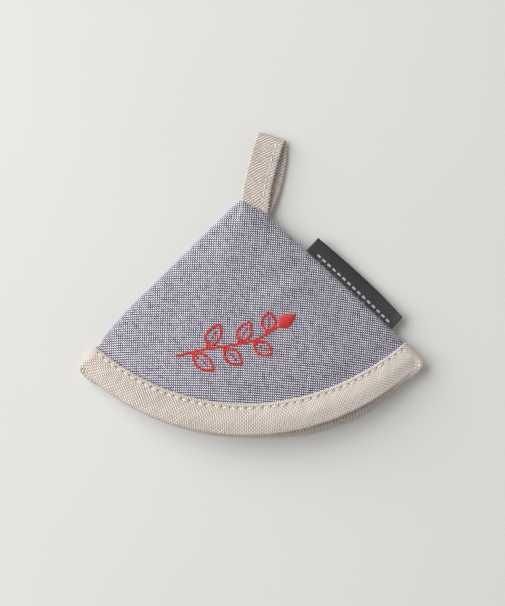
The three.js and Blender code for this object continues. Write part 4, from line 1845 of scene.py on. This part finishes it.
@dataclass
class SprigEmbroidery:
    """A small leafy sprig in raised stitches, with one bud filled with close long stitches."""

    thread: bpy.types.Material
    ground: bpy.types.Object
    centre: tuple = (-5.5, -23.0)
    stem: tuple = ((-26.0, -8.0), (-15.0, -5.2), (-3.5, -3.4), (7.5, -1.0), (17.0, 4.6))
    leaf_places: tuple = (0.16, 0.3, 0.44, 0.58, 0.72, 0.86)
    leaf_length: float = 12.4
    leaf_width: float = 5.8
    leaf_angle: float = 52.0
    vein_share: float = 0.62
    bud_length: float = 8.4
    bud_width: float = 6.2
    thread_radius: float = 0.3
    row_apart: float = 0.5
    stitch_pitch: float = 1.6
    stitch_length: float = 1.9
    fill_pitch: float = 0.42
    smallest_half: float = 0.25
    stalk: float = 0.12
    tree: BVHTree = field(init=False)
    rng: np.random.Generator = field(init=False)
    maker: MeshMaker = field(init=False)

    def __post_init__(self) -> None:
        """Make the cloth's search tree and the row of random numbers."""
        mesh = self.ground.data
        corners = [vertex.co for vertex in mesh.vertices]
        faces = [tuple(polygon.vertices) for polygon in mesh.polygons]
        self.tree = BVHTree.FromPolygons(corners, faces)
        self.rng = np.random.default_rng(31)
        self.maker = MeshMaker("sprig_stitches")

    def dropped(self, places: np.ndarray) -> tuple[np.ndarray, np.ndarray]:
        """Places on the front cloth.

        Args:
            places: Places on the plan, from the sprig's centre.

        Returns:
            Points on the cloth and the ways out of it.
        """
        points = []
        ways = []
        for x, y in places + np.array(self.centre):
            found, normal, _, _ = self.tree.ray_cast(Vector((x * MM, y * MM, 0.1)), Vector((0, 0, -1)))
            points.append(np.array(found) / MM)
            ways.append(np.array(normal if normal.z > 0 else -normal))
        return np.array(points), unit(np.array(ways))

    def sew_row(self, line: np.ndarray, shift: float, start: float) -> None:
        """Sew one row of short stitches beside a line.

        Args:
            line: The line's places on the plan.
            shift: How far to the side of it.
            start: Where the first stitch starts.
        """
        slope = unit(np.gradient(line, axis=0))
        beside = line + np.stack([-slope[:, 1], slope[:, 0]], axis=-1) * shift
        points, ways = self.dropped(beside)
        lengths = lengths_along(points)
        form = StitchForm(radius=self.thread_radius, stands=0.1, sinks=0.3, rings=8, sides=7)
        for begin in np.arange(start, lengths[-1] - 0.5, self.stitch_pitch):
            ends = np.array([begin, min(begin + self.stitch_length, lengths[-1])])
            a, b = values_at(points, lengths, ends)
            up = unit(values_at(ways, lengths, ends.mean()))
            a, b = slipped(a, b, up, self.rng.normal(0, 0.05, 2))
            self.maker.add(form.surface(a, b, up, bow=self.rng.uniform(0, 0.05)))

    def sew_line(self, line: np.ndarray, doubled: bool = True) -> None:
        """Sew a line, in two rows whose stitches lie half a stitch apart, or in one.

        Args:
            line: The line's places on the plan.
            doubled: Whether there are two rows.
        """
        if not doubled:
            self.sew_row(line, 0.0, 0.0)
            return
        half = self.row_apart / 2
        self.sew_row(line, half, 0.0)
        self.sew_row(line, -half, self.stitch_pitch * 0.5)

    def leaf(self, base: np.ndarray, angle: float, length: float) -> None:
        """Sew one leaf's outline and its middle vein.

        Args:
            base: Where it leaves the stem.
            angle: Its direction, in degrees from +X.
            length: Its length.
        """
        along, side = directions(angle)
        share = np.linspace(0, 1, 40)[:, None]
        body = clamp((share - self.stalk) / (1 - self.stalk))
        belly = np.sin(np.pi * body**0.85) * self.leaf_width / 2
        for way in (-1, 1):
            self.sew_line(base + along * share * length + side * belly * way)
        vein = share * self.vein_share + self.stalk
        self.sew_line(base + along * vein * length + side * 0.12 * np.sin(np.pi * share), doubled=False)

    def bud(self, base: np.ndarray, angle: float) -> None:
        """Fill one bud with close stitches across it.

        Args:
            base: Its lower end.
            angle: Its direction, in degrees from +X.
        """
        along, side = directions(angle)
        for at in np.arange(self.fill_pitch / 2, self.bud_length, self.fill_pitch):
            share = at / self.bud_length
            half = self.bud_width / 2 * math.sin(math.pi * share**0.75) ** 0.75
            if half < self.smallest_half:
                continue
            slant = self.rng.normal(0, 0.04, 2)
            left = base + along * (at + slant[0]) - side * half
            right = base + along * (at + slant[1]) + side * half
            points, ways = self.dropped(np.stack([left, right]))
            swell = 0.1 + 0.1 * half
            form = StitchForm(radius=self.thread_radius, stands=0.12, sinks=0.26, rings=13, sides=7)
            self.maker.add(form.surface(points[0], points[1], unit(ways.mean(axis=0)), bow=swell))

    def make(self) -> bpy.types.Object:
        """Sew the whole sprig."""
        stem = smooth_line(np.array(self.stem), 120)
        self.sew_line(stem)
        slope = np.gradient(stem, axis=0)
        for k, share in enumerate(self.leaf_places):
            at = int(share * (len(stem) - 1))
            heading = math.degrees(math.atan2(slope[at, 1], slope[at, 0]))
            way = 1 if k % 2 else -1
            length = self.leaf_length * (1.0 - 0.05 * k)
            self.leaf(stem[at], heading + way * self.leaf_angle, length)
        heading = math.degrees(math.atan2(slope[-1, 1], slope[-1, 0]))
        self.bud(stem[-1], heading + 6)
        return hold(self.maker.make([self.thread]), "embroidery_thread")


@dataclass
class EdgeFuzz:
    """Fine loose fibres that stand out of the cloth's side edges."""

    fibre: bpy.types.Material
    count: int = 5200
    thickness: float = 0.06
    shortest: float = 0.5
    longest: float = 2.2
    rings: int = 5
    sides: int = 3

    def make(self) -> bpy.types.Object:
        """Build the fibres."""
        rng = np.random.default_rng(5)
        maker = MeshMaker("edge_fuzz")
        radius = PLAN.binding_radius * np.sqrt(rng.uniform(0.012, 0.93, self.count))
        step = np.where(rng.uniform(size=self.count) < 0.5, -1.0, 1.0)
        inset = np.abs(rng.normal(0, 0.7, self.count))
        spot = PLAN.spot(radius, step, 0.0)
        across = (spot.half - inset) * step
        spot = Spot(spot.radius, across, spot.half, inset)
        top = rng.uniform(size=self.count) < 0.7
        height = np.where(top, PADDING.front_top(spot), PADDING.back_underside(spot))
        root = PLAN.place(spot, height)
        cosine, sine, level = np.cos(spot.angle), np.sin(spot.angle), np.zeros(self.count)
        outward = np.stack([cosine * step, sine * step, level], axis=-1)
        lengthways = np.stack([sine, -cosine, level], axis=-1)
        upward = np.array([0.0, 0.0, 1.0]) * np.where(top, 1.0, -0.4)[:, None]
        spread = rng.normal(0, 0.75, self.count)[:, None]
        lift = rng.uniform(0.0, 0.9, self.count)[:, None]
        first = unit(outward + lengthways * spread + upward * lift)
        bend = unit(rng.normal(0, 1, (self.count, 3)))
        length = rng.uniform(self.shortest, self.longest, self.count) * rng.uniform(0.4, 1.0, self.count)
        share = np.linspace(0, 1, self.rings)
        turns = np.arange(self.sides) * TURN / self.sides
        thin = self.thickness / 2 * (1 - 0.8 * share)
        thin[0] = thin[-1] = 0.0
        flat = np.zeros((self.rings, self.sides + 1, 2))
        for k in range(self.count):
            line = root[k] - first[k] * 0.15 + first[k] * (share * length[k])[:, None]
            line = line + bend[k] * ((share**2) * length[k] * 0.35)[:, None]
            side = unit(np.cross(first[k], bend[k]))
            other = unit(np.cross(first[k], side))
            ring = np.cos(turns)[:, None] * side + np.sin(turns)[:, None] * other
            points = line[:, None, :] + ring[None, :, :] * thin[:, None, None]
            maker.add(Surface(points, flat, wraps_columns=True))
        return hold(maker.make([self.fibre]), "chambray")


@dataclass(frozen=True)
class SoftLight:
    """A square soft light that faces the mitt; its place and side are in millimetres."""

    name: str
    at: tuple
    size: float
    watts: float
    colour: tuple

    def hang(self) -> None:
        """Put the light in the scene."""
        lamp = bpy.data.lights.new(self.name, "AREA")
        lamp.shape = "SQUARE"
        lamp.size = self.size * MM
        lamp.energy = self.watts
        lamp.color = self.colour
        hung = bpy.data.objects.new(self.name, lamp)
        hung.location = Vector(self.at) * MM
        hung.rotation_euler = (-Vector(self.at)).to_track_quat("-Z", "Y").to_euler()
        bpy.context.scene.collection.objects.link(hung)


@dataclass
class Studio:
    """Pale floor, soft light from the upper left, and the camera above the mitt."""

    floor_half: float = 1400.0
    floor_colour: tuple = (0.74, 0.74, 0.725)
    camera_distance: float = 598.0
    camera_tilt: float = 4.0
    camera_lens: float = 85.0
    camera_sensor: float = 36.0
    look_at: tuple = (0.6, -8.3, 4.0)
    air_colour: tuple = (0.97, 0.965, 0.95, 1.0)
    air_strength: float = 0.29
    lights: tuple = (
        SoftLight("key_light", (-1220, 460, 730), size=1900, watts=47.4, colour=(1.0, 0.992, 0.98)),
        SoftLight("fill_light", (900, -700, 420), size=1300, watts=3.3, colour=(1.0, 0.975, 0.93)),
    )

    def floor_material(self) -> bpy.types.Material:
        """Matt pale paper."""
        desk = NodeDesk.named("paper_floor")
        places = desk.add("ShaderNodeTexCoord").outputs["Object"]
        soft = desk.clouds(places, 6.0, 2.0)
        fine = desk.clouds(places, 900.0, 2.0)
        low = tuple(0.97 * part for part in self.floor_colour)
        colour = desk.shades(soft, [(0.3, low), (0.7, self.floor_colour)])
        return desk.finish(colour, fine, 0.05, roughness=0.85, specular=0.2)

    def make_floor(self) -> bpy.types.Object:
        """Build the floor."""
        side = np.linspace(-self.floor_half, self.floor_half, 9)
        x, y = np.meshgrid(side, side, indexing="ij")
        points = np.stack([x, y, np.full(x.shape, -0.02)], axis=-1)
        maker = MeshMaker("studio_floor")
        maker.add(Surface(points, points[..., :2]))
        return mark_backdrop(maker.make([self.floor_material()]))

    def make_lights(self) -> None:
        """Hang the lights and set the air's light."""
        for light in self.lights:
            light.hang()
        world = bpy.data.worlds.new("studio_air")
        world.use_nodes = True
        air = world.node_tree.nodes["Background"]
        air.inputs[0].default_value = self.air_colour
        air.inputs[1].default_value = self.air_strength
        bpy.context.scene.world = world
        bpy.context.scene.view_settings.view_transform = "Standard"

    def make_camera(self) -> None:
        """Place the camera nearly straight above."""
        camera = bpy.data.cameras.new("camera")
        camera.lens = self.camera_lens
        camera.sensor_fit = "VERTICAL"
        camera.sensor_height = self.camera_sensor
        camera.clip_start = 0.01
        camera.clip_end = 20.0
        tilt = math.radians(self.camera_tilt)
        target = Vector(self.look_at)
        at = target + Vector((0, -math.sin(tilt), math.cos(tilt))) * self.camera_distance
        seen = bpy.data.objects.new("camera", camera)
        seen.location = at * MM
        seen.rotation_euler = (tilt, 0, 0)
        bpy.context.scene.collection.objects.link(seen)
        bpy.context.scene.camera = seen


def main() -> None:
    """Build the mitt piece by piece."""
    logging.basicConfig(level=logging.INFO, format="%(name)s: %(message)s")
    studio = Studio()
    studio.make_camera()
    chambray = Chambray().material()
    lining = LiningCotton().material()
    tape = NaturalTape().material()
    thread = Thread("natural_thread", (0.84, 0.78, 0.69)).material()
    front = PaddedPanel(Face.FRONT, chambray, lining).make()
    back = PaddedPanel(Face.BACK, chambray, lining).make()
    red = Thread("embroidery_thread", (0.64, 0.026, 0.022), gloss=0.5, roughness=0.4).material()
    fibre = Thread("chambray_fibre", (0.62, 0.61, 0.68), gloss=0.1, roughness=0.9).material()
    SprigEmbroidery(red, front).make()
    EdgeFuzz(fibre).make()
    binding = MouthBinding(tape, thread)
    bound = binding.make()
    binding.make_stitches()
    loop_weave = NaturalTape("loop_weave", warp_share=0.25, slant=0.7, stitch_line=-9.0, painted_light=0.0)
    folded = LoopTape(loop_weave.material(), thread)
    loop = folded.make()
    folded.make_stitches()
    label = SideLabel(LabelSatin().material()).make()
    studio.make_floor()
    studio.make_lights()


if __name__ == "__main__":
    main()
